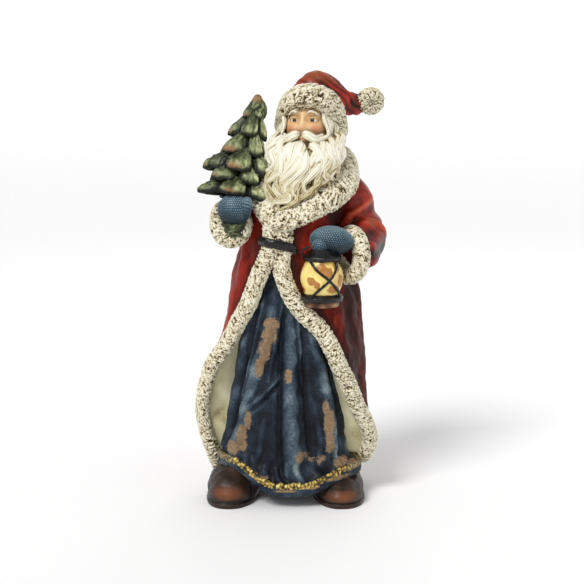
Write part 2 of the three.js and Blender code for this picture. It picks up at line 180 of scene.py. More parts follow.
def arcs(grid):
    """How far each point lies along the grid and round it, in millimetres, from mean steps."""
    along = np.linalg.norm(np.diff(grid, axis=0), axis=2).mean(1)
    along = np.concatenate([[0], np.cumsum(along)])
    step = np.linalg.norm(np.roll(grid, -1, 1) - grid, axis=2).mean()
    return crossed(along, step * np.arange(grid.shape[1]))


def chance(i, j, k):
    """A fixed number from 0 to 1 for each pair of whole numbers."""
    v = np.sin(i * 127.1 + j * 311.7 + k * 74.7) * 43758.5453
    return v - np.floor(v)


def tufts(s, w, cell, size, lean, seed, wrap=None, spread=1.2):
    """Carved fur. Curled tufts lie on a loose grid; each is a ridge with strands that rises and ends in a
    point, and the highest at a place wins, with a groove where two are equal. s and w run along and across,
    lean is the tufts' mean direction and wrap how many cells go round in w and, on a ring, in s. Returns the
    height and the winner's tone."""
    best = np.zeros(np.shape(s))
    second = np.zeros(np.shape(s))
    tone = np.full(np.shape(s), 0.5)
    ci, cj = np.floor(s / cell[0]), np.floor(w / cell[1])
    around_w, around_s = wrap or (None, None)
    for di in range(-2, 3):
        for dj in range(-2, 3):
            i, j = ci + di, cj + dj
            hi = np.mod(i, around_s) if around_s else i
            hj = np.mod(j, around_w) if around_w else j
            turn = lean + spread * (chance(hi, hj, seed) - 0.5)
            u0 = s - (i + 0.1 + 0.8 * chance(hi, hj, seed + 1)) * cell[0]
            v0 = w - (j + 0.1 + 0.8 * chance(hi, hj, seed + 2)) * cell[1]
            u = (u0 * np.cos(turn) + v0 * np.sin(turn)) / (size[0] / 2)
            v = -u0 * np.sin(turn) + v0 * np.cos(turn)
            bend = chance(hi, hj, seed + 3) - 0.5
            v = v - bend * 1.3 * size[1] * u * (u + 0.5 * np.sign(bend))
            v = v / (size[1] / 2 * (1.05 - 0.35 * u))
            inside = np.clip(1 - u * u, 0, 1) ** 0.6 * np.clip(1 - v * v, 0, 1) ** 0.5
            strands = 0.86 + 0.14 * np.cos(1.1 * TURN * v)
            height = inside * strands * (0.65 + 0.35 * chance(hi, hj, seed + 4))
            wins = height > best
            second = np.where(wins, best, np.maximum(second, height))
            best = np.where(wins, height, best)
            tone = np.where(wins, chance(hi, hj, seed + 5), tone)
    return best * mix(0.35, 1, smooth(0, 0.12, best - second)), tone


def ripple(p, scale, seed=0.0):
    """A soft, uneven wave over points in space, from -1 to 1."""
    x, y, z = apart(p / scale)
    a = np.sin(1.7 * x + 2.3 * np.sin(0.9 * z + seed) + 1.1 * y)
    b = np.sin(1.3 * y - 1.9 * np.sin(1.1 * x - seed) + 1.7 * z)
    return 0.5 * (a + b)


def crinkled(p, way, spacing, seed):
    """Cloth in soft rolls with sharp creases between them, 0 in a crease: the root of a sine's size along a
    direction, its waves bent by a broad ripple."""
    run = math.pi * (p @ unit(np.array(way, float))) / spacing
    return np.sqrt(np.abs(np.sin(run + 1.5 * ripple(p, 10.0, seed))))


def zipped(loop, fold):
    """Triangles that close a flat loop of points: its two sides, which part at the fold, joined in steps."""
    there, back = loop[:fold], loop[fold:][::-1]
    partner = np.round(np.linspace(0, len(back) - 1, len(there))).astype(int)
    across_there = np.stack([there[:-1], there[1:], back[partner[:-1]]], -1)
    steps = np.nonzero(np.diff(partner))[0]
    across_back = np.stack([back[partner[steps + 1]], back[partner[steps]], there[steps + 1]], -1)
    return np.concatenate([across_there, across_back])


class Piece:
    """Closed grids gathered into one mesh. relief says how high a point stands in its carving, from 0 in a
    crevice to 1 on a ridge, and in places is also lowered for painted shade or raised for a painted
    highlight;
    wear says how far its paint has gone, and on the coat also thickens the glaze as painted shade and on the
    hat's top stands partly for a painted sheen. The paints read both."""

    def __init__(self):
        self.count = 0
        self.points, self.quads, self.fans = [], [], []
        self.marks = {"relief": [], "wear": []}

    def add(self, grid, relief=0.5, wear=0.0, closed=False, ends=None, fold=None):
        """Adds a grid that goes round in its second index, and either in its first too or with both ends
        closed by a fan to their middle or to the given points. Where fold is a column, the first and last
        rows are flat loops that turn back there, and are zipped shut instead."""
        rows, cols = grid.shape[:2]
        index = np.arange(rows * cols).reshape(rows, cols)
        a = index if closed else index[:-1]
        b = np.roll(index, -1, 0) if closed else index[1:]
        quads = np.stack([a, np.roll(a, -1, 1), np.roll(b, -1, 1), b], -1).reshape(-1, 4)
        points = grid.reshape(-1, 3)
        extra = np.zeros((0, 3))
        fans = np.zeros((0, 3), int)
        if not closed:
            extra = np.array(ends) if ends is not None else np.stack([grid[0].mean(0), grid[-1].mean(0)])
            first, last = index[0], index[-1]
            low = np.stack([np.roll(first, -1), first, np.full(cols, rows * cols)], -1)
            high = np.stack([last, np.roll(last, -1), np.full(cols, rows * cols + 1)], -1)
            fans = np.concatenate([low, high])
            if fold:
                extra = extra[:0]
                fans = np.concatenate([zipped(first, fold)[:, ::-1], zipped(last, fold)])
        points = np.concatenate([points, extra])
        corners = np.concatenate([quads[:, [0, 1, 2]], quads[:, [0, 2, 3]], fans])
        p, q, r = (points[corners[:, k]] - points.mean(0) for k in range(3))
        if (p * np.cross(q, r)).sum() < 0:
            quads, fans = quads[:, ::-1], fans[:, ::-1]
        self.points.append(points)
        self.quads.append(quads + self.count)
        self.fans.append(fans + self.count)
        for name, value in (("relief", relief), ("wear", wear)):
            value = np.broadcast_to(value, (rows, cols)).ravel()
            ends_value = np.full(len(extra), value.mean())
            self.marks[name].append(np.concatenate([value, ends_value]))
        self.count += len(points)
        return self

    def finish(self, name, slot, paint):
        """Makes the object, gives it its paint and puts it in the part."""
        points = (np.concatenate(self.points) - MIDDLE) * MM
        quads, fans = np.concatenate(self.quads), np.concatenate(self.fans)
        mesh = bpy.data.meshes.new(name)
        mesh.vertices.add(len(points))
        mesh.vertices.foreach_set("co", points.astype(np.float32).ravel())
        corners = np.concatenate([quads.ravel(), fans.ravel()])
        starts = np.concatenate([4 * np.arange(len(quads)), 4 * len(quads) + 3 * np.arange(len(fans))])
        mesh.loops.add(len(corners))
        mesh.loops.foreach_set("vertex_index", corners.astype(np.int32))
        mesh.polygons.add(len(starts))
        mesh.polygons.foreach_set("loop_start", starts.astype(np.int32))
        mesh.update(calc_edges=True)
        mesh.validate()
        mesh.polygons.foreach_set("use_smooth", np.ones(len(mesh.polygons), bool))
        for mark, values in self.marks.items():
            layer = mesh.attributes.new(mark, "FLOAT", "POINT")
            layer.data.foreach_set("value", np.concatenate(values).astype(np.float32))
        mesh.materials.append(paint)
        piece = bpy.data.objects.new(name, mesh)
        bpy.context.scene.collection.objects.link(piece)
        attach(piece, "root")
        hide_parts(NODE)
        return piece


# Paints


class Nodes:
    """Short ways to add the nodes of one material. Most take sockets, and math and blend plain values too."""

    def __init__(self, name):
        self.material = bpy.data.materials.new(name)
        self.material.use_nodes = True
        self.tree = self.material.node_tree
        self.shader = self.tree.nodes["Principled BSDF"]
        self.place = self.new("TexCoord").outputs["Object"]

    def new(self, kind):
        """A node of that kind."""
        return self.tree.nodes.new("ShaderNode" + kind)

    def link(self, source, socket):
        """Leads a source into a socket."""
        self.tree.links.new(source, socket)

    def fill(self, socket, value):
        """Gives a socket a number, a colour or a link."""
        if isinstance(value, tuple):
            socket.default_value = (*value, 1)
        elif isinstance(value, (int, float)):
            socket.default_value = value
        else:
            self.link(value, socket)

    def mark(self, name):
        """The mesh's relief or wear."""
        node = self.new("Attribute")
        node.attribute_name = name
        return node.outputs["Fac"]

    def noise(self, grain_mm, detail=3.0, rough=0.55, tall=1.0):
        """Noise about grain_mm across and that many times as tall."""
        node = self.new("TexNoise")
        squeeze = self.new("Mapping")
        squeeze.inputs["Scale"].default_value = (1, 1, 1 / tall)
        self.link(self.place, squeeze.inputs["Vector"])
        self.link(squeeze.outputs["Vector"], node.inputs["Vector"])
        node.inputs["Scale"].default_value = 1000 / grain_mm
        node.inputs["Detail"].default_value = detail
        node.inputs["Roughness"].default_value = rough
        return node.outputs["Fac"]

    def math(self, kind, a, b):
        """Two numbers added, subtracted or multiplied."""
        node = self.new("Math")
        node.operation = kind
        self.fill(node.inputs[0], a)
        self.fill(node.inputs[1], b)
        return node.outputs[0]

    def vary(self, base, noise, amount):
        """base with the noise added, up to amount / 2 either way."""
        return self.math("ADD", base, self.math("MULTIPLY", self.math("SUBTRACT", noise, 0.5), amount))

    def ramp(self, factor, stops):
        """Colours, or one number each, at places from 0 to 1."""
        node = self.new("ValToRGB")
        self.link(factor, node.inputs["Fac"])
        points = node.color_ramp.elements
        while len(points) < len(stops):
            points.new(0.5)
        for point, (at, colour) in zip(points, stops):
            point.position = at
            point.color = (*colour, 1) if isinstance(colour, tuple) else (colour, colour, colour, 1)
        return node.outputs["Color"]

    def blend(self, factor, a, b):
        """Colour a where the factor is 0 and colour b where it is 1."""
        node = self.new("Mix")
        node.data_type = "RGBA"
        self.link(factor, node.inputs["Factor"])
        self.fill(node.inputs["A"], a)
        self.fill(node.inputs["B"], b)
        return node.outputs["Result"]

    def bump(self, height, distance_mm):
        """Bumps of that height on the shader's normal."""
        node = self.new("Bump")
        node.inputs["Strength"].default_value = 1.0
        node.inputs["Distance"].default_value = distance_mm * MM
        self.link(height, node.inputs["Height"])
        self.link(node.outputs["Normal"], self.shader.inputs["Normal"])


def srgb(r, g, b):
    """A colour as a painter's chart gives it, 0 to 255, made linear."""
    return tuple((c / 255 / 12.92) if c < 10 else ((c / 255 + 0.055) / 1.055) ** 2.4 for c in (r, g, b))


def chart(rows):
    """Colours for a ramp, each row a place from 0 to 1 and then red, green and blue from 0 to 255."""
    return [(at, srgb(*colour)) for at, *colour in rows]


def toned(colour, share):
    """A colour made darker or lighter."""
    return tuple(share * c for c in colour)


def antique(
    name, rows, worn=None, rough=0.42, blotch=0.3, speck=0.25, grain=0.12, gloss=0.2, coat=0.1, extra=None
):
    """Paint over a dark wash: the colour follows the relief, shaken by broad noise (blotch) and by fine noise
    (speck), so that the wash stays in the crevices and the dry-brushing on the ridges. worn is the colour
    under paint that has gone, and extra changes the colour last. grain is the height of the finest bumps."""
    n = Nodes(name)
    fine, broad = n.noise(2.2, 4.0, 0.6), n.noise(26.0, 2.0)
    height = n.vary(n.vary(n.mark("relief"), broad, blotch), fine, speck)
    colour = n.ramp(height, chart(rows))
    if worn:
        bare = srgb(*worn)
        gone = n.vary(n.vary(n.mark("wear"), n.noise(7.0, 5.0, 0.7), 1.0), n.noise(1.8, 2.0), 0.45)
        ground = n.ramp(fine, [(0.3, toned(bare, 0.6)), (0.6, bare), (0.75, toned(bare, 1.3))])
        colour = n.blend(n.ramp(gone, [(0.42, 0.0), (0.56, 1.0)]), colour, ground)
    if extra:
        colour = extra(n, colour)
    n.link(colour, n.shader.inputs["Base Color"])
    n.link(n.ramp(n.noise(9.0), [(0.3, rough - 0.08), (0.7, rough + 0.1)]), n.shader.inputs["Roughness"])
    n.shader.inputs["Specular IOR Level"].default_value = gloss
    n.shader.inputs["Coat Weight"].default_value = coat
    n.shader.inputs["Coat Roughness"].default_value = 0.2
    n.bump(n.noise(1.3, 3.0), grain)
    return n.material


def rosy(n, colour):
    """Flesh turned rosy where the wear mark says so."""
    blush = n.vary(n.math("MULTIPLY", n.mark("wear"), 0.75), n.noise(3.0), 0.08)
    return n.blend(blush, colour, srgb(196, 92, 66))


def glazed_and_shaded(n, colour):
    """Red streaked from top to bottom with a brown glaze, thicker where the wear mark says so, with a little
    orange rubbed through. On the coat the wear mark thickens the glaze low at the right front as painted
    shade."""
    # the wear mark thickens the brown glaze, which on the coat is painted shade low at the right front
    streaks = n.math("ADD", n.noise(9.0, 4.0, 0.6, tall=5.0), n.math("MULTIPLY", n.mark("wear"), 0.34))
    colour = n.blend(n.ramp(streaks, [(0.5, 0.0), (0.74, 0.9)]), colour, srgb(38, 17, 12))
    through = n.ramp(n.noise(7.0, 5.0, 0.7, tall=4.0), [(0.62, 0.0), (0.72, 0.6)])
    return n.blend(through, colour, srgb(158, 66, 34))


def rubbed(red, green, blue):
    """A paint that goes over to a worn colour gradually, where the wear mark says so. On the hat's top that
    orange is partly wear and partly a painted sheen.
    """

    def blend(n, colour):
        """The colour blended into the worn one."""
        gone = n.vary(n.vary(n.mark("wear"), n.noise(9.0, 4.0), 0.5), n.noise(2.0), 0.3)
        return n.blend(n.ramp(gone, [(0.25, 0.0), (0.95, 1.0)]), colour, srgb(red, green, blue))

    return blend


def iris(n, _):
    """An eye by the distance from its middle, which is its relief mark: pupil, iris, dark rim, white."""
    pupil, brown, rim, white = (12, 10, 10), (74, 58, 44), (26, 20, 18), (226, 218, 200)
    rings = [(0.0, pupil), (0.17, pupil), (0.2, brown), (0.36, brown), (0.4, rim), (0.45, white)]
    return n.ramp(n.mark("relief"), chart([(at, *colour) for at, colour in rings]))


# Each paint's colours go from the wash in the crevices up to the dry-brushed ridges.
FUR_PAINT = antique(
    "fur_paint",
    [(0.1, 34, 25, 15), (0.25, 86, 70, 43), (0.38, 168, 153, 116), (0.53, 216, 207, 177),
     (0.84, 243, 237, 217)],
    rough=0.5, blotch=0.18, speck=0.2, grain=0.15, coat=0.12,
)
RED = [(0.1, 28, 13, 9), (0.33, 68, 25, 17), (0.5, 120, 33, 23), (0.7, 162, 44, 31), (0.95, 196, 84, 54)]
COAT_PAINT = antique("coat_paint", RED, blotch=0.3, speck=0.22, gloss=0.06, coat=0.02, extra=glazed_and_shaded)
SLEEVE_PAINT = antique(
    "sleeve_paint", RED, extra=rubbed(150, 78, 38),
    rough=0.36, blotch=0.36, speck=0.28, grain=0.25, gloss=0.22, coat=0.12,
)
LINING_PAINT = antique(
    "lining_paint", [(0.1, 84, 66, 42), (0.3, 168, 152, 108), (0.5, 222, 213, 168), (0.85, 246, 240, 204)],
    rough=0.5, blotch=0.6, speck=0.3,
)
GOWN_PAINT = antique(
    "gown_paint",
    [(0.12, 10, 12, 16), (0.34, 23, 29, 38), (0.54, 38, 49, 61), (0.74, 74, 90, 101), (0.93, 130, 141, 143)],
    worn=(142, 117, 90), rough=0.5, blotch=0.5, speck=0.46, grain=0.25, gloss=0.14, coat=0.04,
)
GOLD_PAINT = antique(
    "gold_paint", [(0.1, 34, 36, 34), (0.35, 92, 76, 36), (0.6, 176, 146, 66), (0.9, 236, 218, 140)],
    worn=(126, 116, 92), rough=0.38, blotch=0.5, speck=0.3, grain=0.2, coat=0.2,
)
FLESH = [(0.1, 92, 58, 30), (0.33, 186, 142, 92), (0.52, 228, 190, 140), (0.9, 246, 218, 172)]
FLESH_PAINT = antique(
    "flesh_paint", FLESH, extra=rosy, rough=0.4, blotch=0.15, speck=0.1, grain=0.04, coat=0.2
)
EYE_PAINT = antique("eye_paint", FLESH, extra=iris, rough=0.2, blotch=0.0, speck=0.0, grain=0.01, coat=0.5)
HAIR_PAINT = antique(
    "hair_paint",
    [(0.04, 82, 67, 37), (0.22, 138, 120, 74), (0.38, 192, 179, 136), (0.58, 226, 219, 195),
     (0.86, 244, 241, 228)],
    rough=0.5, blotch=0.14, speck=0.12, grain=0.06, coat=0.12,
)
MITTEN_PAINT = antique(
    "mitten_paint", [(0.12, 18, 26, 32), (0.34, 46, 67, 82), (0.54, 86, 114, 130), (0.8, 168, 190, 196)],
    rough=0.4, blotch=0.5, speck=0.3, grain=0.1, coat=0.15,
)
TREE_PAINT = antique(
    "tree_paint",
    [(0.08, 12, 13, 8), (0.26, 34, 38, 24), (0.44, 76, 84, 54), (0.62, 132, 141, 100), (0.88, 204, 208, 160)],
    extra=rubbed(158, 118, 80), rough=0.45, blotch=0.3, speck=0.3, grain=0.25, coat=0.12,
)
BOOT_PAINT = antique(
    "boot_paint", [(0.1, 14, 11, 9), (0.4, 36, 27, 22), (0.65, 62, 45, 36), (0.92, 104, 78, 60)],
    extra=rubbed(116, 68, 40), blotch=0.5, speck=0.5, grain=0.25, coat=0.06,
)
GLOBE_PAINT = antique(
    "globe_paint", [(0.1, 120, 84, 34), (0.4, 214, 178, 92), (0.65, 242, 218, 134), (0.92, 250, 238, 176)],
    worn=(184, 126, 60), rough=0.28, blotch=0.3, speck=0.2, grain=0.1, coat=0.4,
)
IRON_PAINT = antique(
    "iron_paint", [(0.2, 8, 7, 8), (0.58, 18, 16, 17), (0.72, 40, 36, 36), (0.95, 104, 96, 92)],
    rough=0.26, blotch=0.4, speck=0.4, grain=0.3, gloss=0.3, coat=0.2,
)
WOOD_PAINT = antique(
    "wood_paint", [(0.2, 62, 40, 26), (0.5, 118, 84, 56), (0.85, 168, 130, 92)],
    rough=0.4, blotch=0.4, speck=0.3, grain=0.15, coat=0.2,
)


# Body tables, as in the solid: a height, then the middle x and y there, half the width, and half the depth,
# which the gown has in front and then behind.
GOWN = [
    (0, -1, 0, 75, 74, 58), (9, -1, 0, 75, 74, 57), (20, -7, 0, 66, 64, 50), (34, -6, 0, 62, 64, 51),
    (60, -6, 0, 59, 63, 50), (84, -7, 0, 56, 61, 49), (110, -8, 0, 53, 59, 47), (140, -9, 0, 49, 56, 46),
    (190, -8, 0, 42, 51, 42), (230, -6, 0, 39, 45, 38), (270, 4, 0, 40, 38, 36), (320, 14, 2, 30, 26, 26),
]
COAT = [
    (24, 1.5, 3, 71.5, 66), (60, 2.2, 3, 68.2, 65), (95, 2.2, 3, 67.2, 62), (139, 1.5, 3, 68.5, 57),
    (177, 3.5, 2, 64.5, 53), (210, 4, 1, 62.5, 50), (230, 3, 0, 57.5, 48), (247, 2, 0, 52, 46),
    (262, 0, 0, 50, 45), (285, 3, 0, 52, 44), (305, 8, 2, 54, 41), (322, 12, 3, 44, 34), (335, 14, 4, 24, 22),
]
NECK_Z = 330
COAT_HEM_Z, COAT_HEM_LIFT = 27, 15
COAT_WALL, COAT_FLAP = 7, 30
# The coat's front edges: a height, x and y.
EDGE_LEFT = [
    (27, -75, 3), (43, -79.5, -3), (63, -85.5, -8), (95, -88.5, -12), (127, -80.5, -21), (149, -69, -30),
    (171, -55, -39), (192, -45, -46), (213, -36, -51), (235, -27, -53), (258, -20, -52), (NECK_Z, -14, -42),
]
EDGE_RIGHT = [
    (44, 76, -16), (55, 79.5, -21), (68, 77, -27), (90, 68, -34), (112, 59, -42), (133, 49, -48),
    (154, 41, -52), (174, 28, -54), (192, 12, -55), (213, -3, -55), (235, -9, -54), (258, -6, -52),
    (NECK_Z, -6, -42),
]
# The hem behind, from the left front corner round to the right one: x, y and z.
HEM_BACK = [
    (-72, 14, 24), (-66, 36, 24), (-44, 60, 25), (2, 71, 27), (46, 60, 29), (68, 35, 32), (75, 10, 35),
    (75, -6, 38),
]
# The gown's hem: its height in front, its lift over the left and the right boot and its fall behind them.
HEM_FRONT_Z, HEM_RISE_LEFT, HEM_RISE_RIGHT, HEM_FALL = 13, 20, 11, 15
TRIM_Z = 10.5  # the gold trim's height above the hem
GOWN_SIDE_LEFT, GOWN_SIDE_RIGHT = 52, 62  # the gown's half widths where it goes in under the coat
# Folds of the gown: the height and the angle from the front along each ridge, then its width and rise.
FOLDS = [
    ([(40, -78), (100, -64), (150, -50), (230, -40)], 9, 7),
    ([(40, -52), (60, -49), (84, -42), (108, -37), (137, -29), (182, -14), (235, -6)], 10, 11),
    ([(20, 11), (40, 9), (69, 7), (108, 8), (132, 9), (161, 12), (235, 10)], 9, 10),
    ([(40, 49), (79, 50), (108, 49), (132, 45), (166, 38), (235, 24)], 9, 10),
    ([(30, 76), (70, 74), (112, 70), (235, 56)], 9, 6),
]
# Narrow ridges and creases between the folds: path, width, rise, and the two heights where they stop.
CREASES = [
    ([(98, -33), (112, -20), (130, 1)], 3.6, 4.2, 102, 127),
    ([(90, -38), (101, -26), (119, -4)], 3.0, -2.6, 96, 116),
    ([(20, -3), (70, -6), (120, -3), (200, 2)], 4.0, -3.4, 34, 190),
    ([(30, 26), (80, 25), (140, 25)], 4.0, -3.2, 34, 150),
    ([(30, 34), (70, 36), (104, 33)], 3.2, 2.8, 30, 96),
    ([(40, -66), (90, -56), (140, -42)], 3.4, -3.4, 40, 150),
    ([(30, -28), (60, -25), (90, -22)], 3.6, 3.0, 30, 80),
    ([(110, 24), (160, 22), (220, 14)], 3.0, 2.6, 118, 215),
    ([(110, -44), (150, -35), (200, -26)], 2.6, 2.4, 116, 205),
    ([(60, 61), (110, 60), (160, 52)], 3.0, -3.0, 50, 160),
    ([(128, -16), (165, -6), (210, 2)], 2.4, 2.0, 126, 205),
    ([(24, 58), (40, 62), (58, 64)], 4.0, 3.0, 24, 52),
]
# Places where the gown's paint has worn to the ground: x, z and the half sizes.
GOWN_WORN = [
    (-18, 180, 11, 7), (-20, 168, 10, 12), (-24, 154, 8, 14), (-30, 138, 5, 12), (-3, 130, 5, 8),
    (34, 96, 4, 9), (37, 78, 7, 18), (38, 60, 6, 13), (-42, 84, 4, 12), (-48, 68, 6, 12), (-57, 55, 8, 8),
    (-46, 58, 7, 8), (-57, 30, 17, 4.5), (12, 50, 9, 8), (25, 45, 14, 6), (50, 40, 10, 5), (46, 28, 18, 3.5),
    (-30, 30, 10, 3), (60, 36, 7, 4), (-4, 19, 16, 2), (20, 22, 12, 2.5),
]


def fold_height(angle, z):
    """How far the gown's cloth stands out: bell-shaped ridges along the fold paths in front, a plain wave
    behind, both growing from the waist down, plus short narrow creases."""
    depth = smooth(240, 130, z)
    behind = smooth(75, 110, np.abs(angle)) * 2.5 * np.cos(9 * np.radians(angle))
    front = np.full(np.shape(angle), -5.0)
    for line, width, rise in FOLDS:
        front = front + rise * hump(angle - read(line, z)[0], width)
    side = smooth(75, 100, np.abs(angle))
    height = depth * mix(front, behind, side)
    for line, width, rise, low, high in CREASES:
        present = smooth(low - 12, low + 8, z) * smooth(high + 12, high - 12, z)
        height = height + rise * present * hump(angle - read(line, z)[0], width)
    return height


def gown_point(angle, height):
    """The gown's surface at an angle from the front and a height above its hem: an oval whose half sizes come
    from the table, pushed out by the folds, on a hem that lifts over the boots."""
    away = np.abs(angle)
    rise = mix(np.where(angle < 0, HEM_RISE_LEFT, HEM_RISE_RIGHT), HEM_RISE_LEFT, smooth(75, 100, away))
    low = HEM_FRONT_Z + rise * smooth(10, 48, away) - HEM_FALL * smooth(110, 150, away)
    z = low + height
    cx, cy, wide, front, back = read(GOWN, height)
    deep = mix(front, back, smooth(60, 120, np.abs(angle)))
    fold = fold_height(angle, z) * smooth(8, 34, height)
    side = np.where(angle < 0, GOWN_SIDE_LEFT, GOWN_SIDE_RIGHT)
    wide = wide - np.maximum(wide - side, 0) * smooth(70, 92, away)
    a = np.radians(angle)
    return join(cx + (wide + fold) * np.sin(a), cy - (deep + fold) * np.cos(a), z), fold


def make_gown():
    """The gown's grid, its angle against the height above the hem. The hem is rolled under, pinched in over
    the gold trim and gathered, and the cloth has small dents. The paint is lighter on the folds and their
    crests, clouded, and gone at the worn places, most on the crests."""
    share = np.linspace(-1, 1, 290, endpoint=False)
    angle = 180 * (0.62 * share + 0.38 * share**5)  # closer together in front
    rise = np.concatenate([np.linspace(0, 40, 48), np.linspace(41.4, 288, 122)])
    height, angle = crossed(rise, angle)
    grid, fold = gown_point(angle, height)
    a = np.radians(angle)
    pinch = -2.2 * hump(height - 14, 2.6) * (0.6 + 0.4 * np.sin(a * 23))
    gather = 1.3 * np.sin(a * 31 + 2 * np.sin(a * 7)) * hump(height - 22, 9)
    dents = 0.55 * ripple(grid, 7.0, 1.3) + 0.35 * ripple(grid, 3.4, 4.0)
    roll = -1.6 * smooth(1.6, 0, height)
    grid = lift(grid, pinch + gather + dents + roll)
    crest = held(0.5 - 14 * np.gradient(np.gradient(fold, axis=1), axis=1))
    cloud = 0.13 * ripple(grid, 16.0, 2.0) + 0.07 * ripple(grid, 7.0, 5.0)
    relief = 0.48 + 0.026 * fold + 0.16 * (crest - 0.5) + cloud + 0.1 * (dents + pinch) + 0.1 * gather
    wear = np.max([spot(grid[..., 0], grid[..., 2], *place) for place in GOWN_WORN], axis=0)
    wear = wear * (np.abs(angle) < 90) * (0.55 + 0.5 * held(fold / 5 + 0.5))
    caps = [grid[0].mean(0) + [0, 0, 12], grid[-1].mean(0)]
    Piece().add(grid, held(relief), wear, ends=caps).finish("gown", "gown_blue", GOWN_PAINT)


def make_gold_trim():
    """Gold nuggets along the gown's hem: a rod that swells with short fat tufts, four round it. Its paint is
    more worn towards the sides."""
    angle = np.linspace(-88, 88, 340)
    c, _ = gown_point(angle, np.full(len(angle), TRIM_Z))
    around, girth = 24, 16
    s, w = crossed(np.linspace(0, length_of(c), len(c)), girth * np.arange(around) / around)
    nuggets, _ = tufts(s, w, (3.4, girth / 4), (5.0, 3.8), 0.6, 40, (4, None))
    out = join(c[:, 0], c[:, 1] * 1.1, 0.0)
    grid = lift(sweep(c, out, 3.1, 1.9, around), 1.5 * (nuggets - 0.4))
    worn = 0.1 + 0.42 * smooth(16, 60, np.abs(angle))[:, None]
    Piece().add(grid, nuggets, worn).finish("gold_trim", "gold_trim", GOLD_PAINT)


# Coat


def coat_angles(v, z):
    """The angle round the coat at a share v of the way from its left front edge round the back to its right
    one, and the edges' angles and places, all at the height z."""
    cx, cy, wide, deep = read(COAT, z)
    edges = [read(table, z) for table in (EDGE_LEFT, EDGE_RIGHT)]
    start, stop = (np.arctan2((y - cy) / deep, (x - cx) / wide) for x, y in edges)
    start, stop = np.where(start > 0, start - TURN, start), stop - TURN
    left, right, side = math.radians(-190), math.radians(-350), 0.22
    angle = mix(left, right, (v - side) / (1 - 2 * side))
    angle = np.where(v < side, mix(start, left, v / side), angle)
    return np.where(v > 1 - side, mix(right, stop, (v - 1 + side) / side), angle), start, stop, edges


def coat_surface(t, count, margin=0, top=NECK_Z):
    """The coat's outside at shares t of the way up from the hem plus a margin: an oval from the table with
    pleats, drawn at both ends to the front edges. The hem lifts at the right front corner. Returns the grid,
    the pleats' height, the share of the way round and the middle."""
    v = np.linspace(0, 1, count)[None] + 0 * t[:, None]
    low = COAT_HEM_Z + margin + COAT_HEM_LIFT * smooth(0.72, 1, v)
    z = mix(low, top, t[:, None])
    angle, start, stop, edges = coat_angles(v, z)
    cx, cy, wide, deep = read(COAT, z)
    calm = smooth(0, 0.12, v) * smooth(1, 0.88, v)
    pleat = 4 * np.cos(7 * angle + 0.5) * calm * smooth(255, 120, z)
    fine = 1.1 * np.cos(13 * angle + 1.8 * np.sin(z / 30 + 2 * angle) + 1) * calm * smooth(250, 150, z)
    pull = 1.7 * np.cos(11 * angle + z / 15) * calm * hump(z - 238, 26)
    sag = 1.3 * np.sin(z / 9 + 3 * angle) * calm * hump(z - 285, 22)
    r = pleat + fine + pull + sag
    x, y = cx + (wide + r) * np.cos(angle), cy + (deep + r) * np.sin(angle)
    for end, (ex, ey), share in ((start, edges[0], v), (stop, edges[1], 1 - v)):
        near = smooth(0.24, 0, share)
        x = x + (ex - (cx + wide * np.cos(end))) * near
        y = y + (ey - (cy + deep * np.sin(end))) * near
    return join(x, y, z), r, v, np.stack([cx, cy], -1)


def coat_inside(t, count, margin=0, top=NECK_Z):
    """The coat's inside: the outside drawn in by the wall, and soon by the flap that meets the gown."""
    outside, _, v, middle = coat_surface(t, count, margin, top)
    end = smooth(0, 0.05, v) * smooth(1, 0.95, v)
    deep = smooth(0, 0.07, v) * smooth(1, 0.93, v) * COAT_FLAP
    inward = np.zeros_like(outside)
    inward[..., :2] = middle - outside[..., :2]
    return outside + unit(inward) * (end * (COAT_WALL + deep))[..., None]


def coat_relief_and_light(p, pleats, v, dents):
    """How the red lies on the coat: light on the pleats, a painted highlight on the chest, and painted shade
    beside the trims, where the right sleeve meets the chest and under the right cuff."""
    x, y, z = apart(p)
    relief = held(0.56 + 0.055 * pleats + 0.12 * dents)
    # a painted highlight on the chest
    chest = hump(x - 24, 16) * hump(z - 250, 26) * smooth(0, -20, y)
    # painted shade where the right sleeve meets the chest, under the right cuff and beside the trims
    painted_shade_beside_sleeve = hump(x - 44, 7) * smooth(236, 262, z) * smooth(0, -12, y)
    painted_shade_under_cuff = hump(x - 58, 14) * hump(z - 212, 17) * smooth(10, -10, y)
    painted_shade_beside_trim = hump(np.minimum(v, 1 - v) - 0.02, 0.03)
    return relief + 0.26 * chest - 0.4 * painted_shade_beside_sleeve - 0.3 * painted_shade_under_cuff - 0.3 * painted_shade_beside_trim


def make_coat():
    """The coat as a closed wall: outside up, inside down, carried from front edge to front edge. Its brown
    glaze is thicker low at the right front, under the arm, as painted shade, and a little thinner on the
    left."""
    up = np.linspace(0, 1, 130)
    down = np.linspace(1, 0, 18)[1:-1]
    count = 230
    outside, pleats, v, _ = coat_surface(up, count)
    inside = coat_inside(down, count)
    dents = 0.5 * ripple(outside, 8.0, 2.0) + 0.3 * ripple(outside, 3.6, 5.0)
    wall = np.concatenate([outside, inside]).transpose(1, 0, 2)
    height, relief = np.zeros(wall.shape[:2]), np.full(wall.shape[:2], 0.4)
    height[:, : len(up)] = dents.T
    relief[:, : len(up)] = coat_relief_and_light(outside, pleats, v, dents).T
    grid = lift(wall, height)
    x, y, z = apart(grid)
    # painted shade: more brown glaze low at the right front, under the arm, and a little less on the left
    painted_shade_low_right, left = smooth(30, 62, x) * smooth(255, 190, z), smooth(0, -40, x)
    glaze = 0.2 + smooth(25, -5, y) * (0.55 * painted_shade_low_right - 0.16 * left)
    Piece().add(grid, relief, glaze, fold=len(up)).finish("coat", "coat_red", COAT_PAINT)


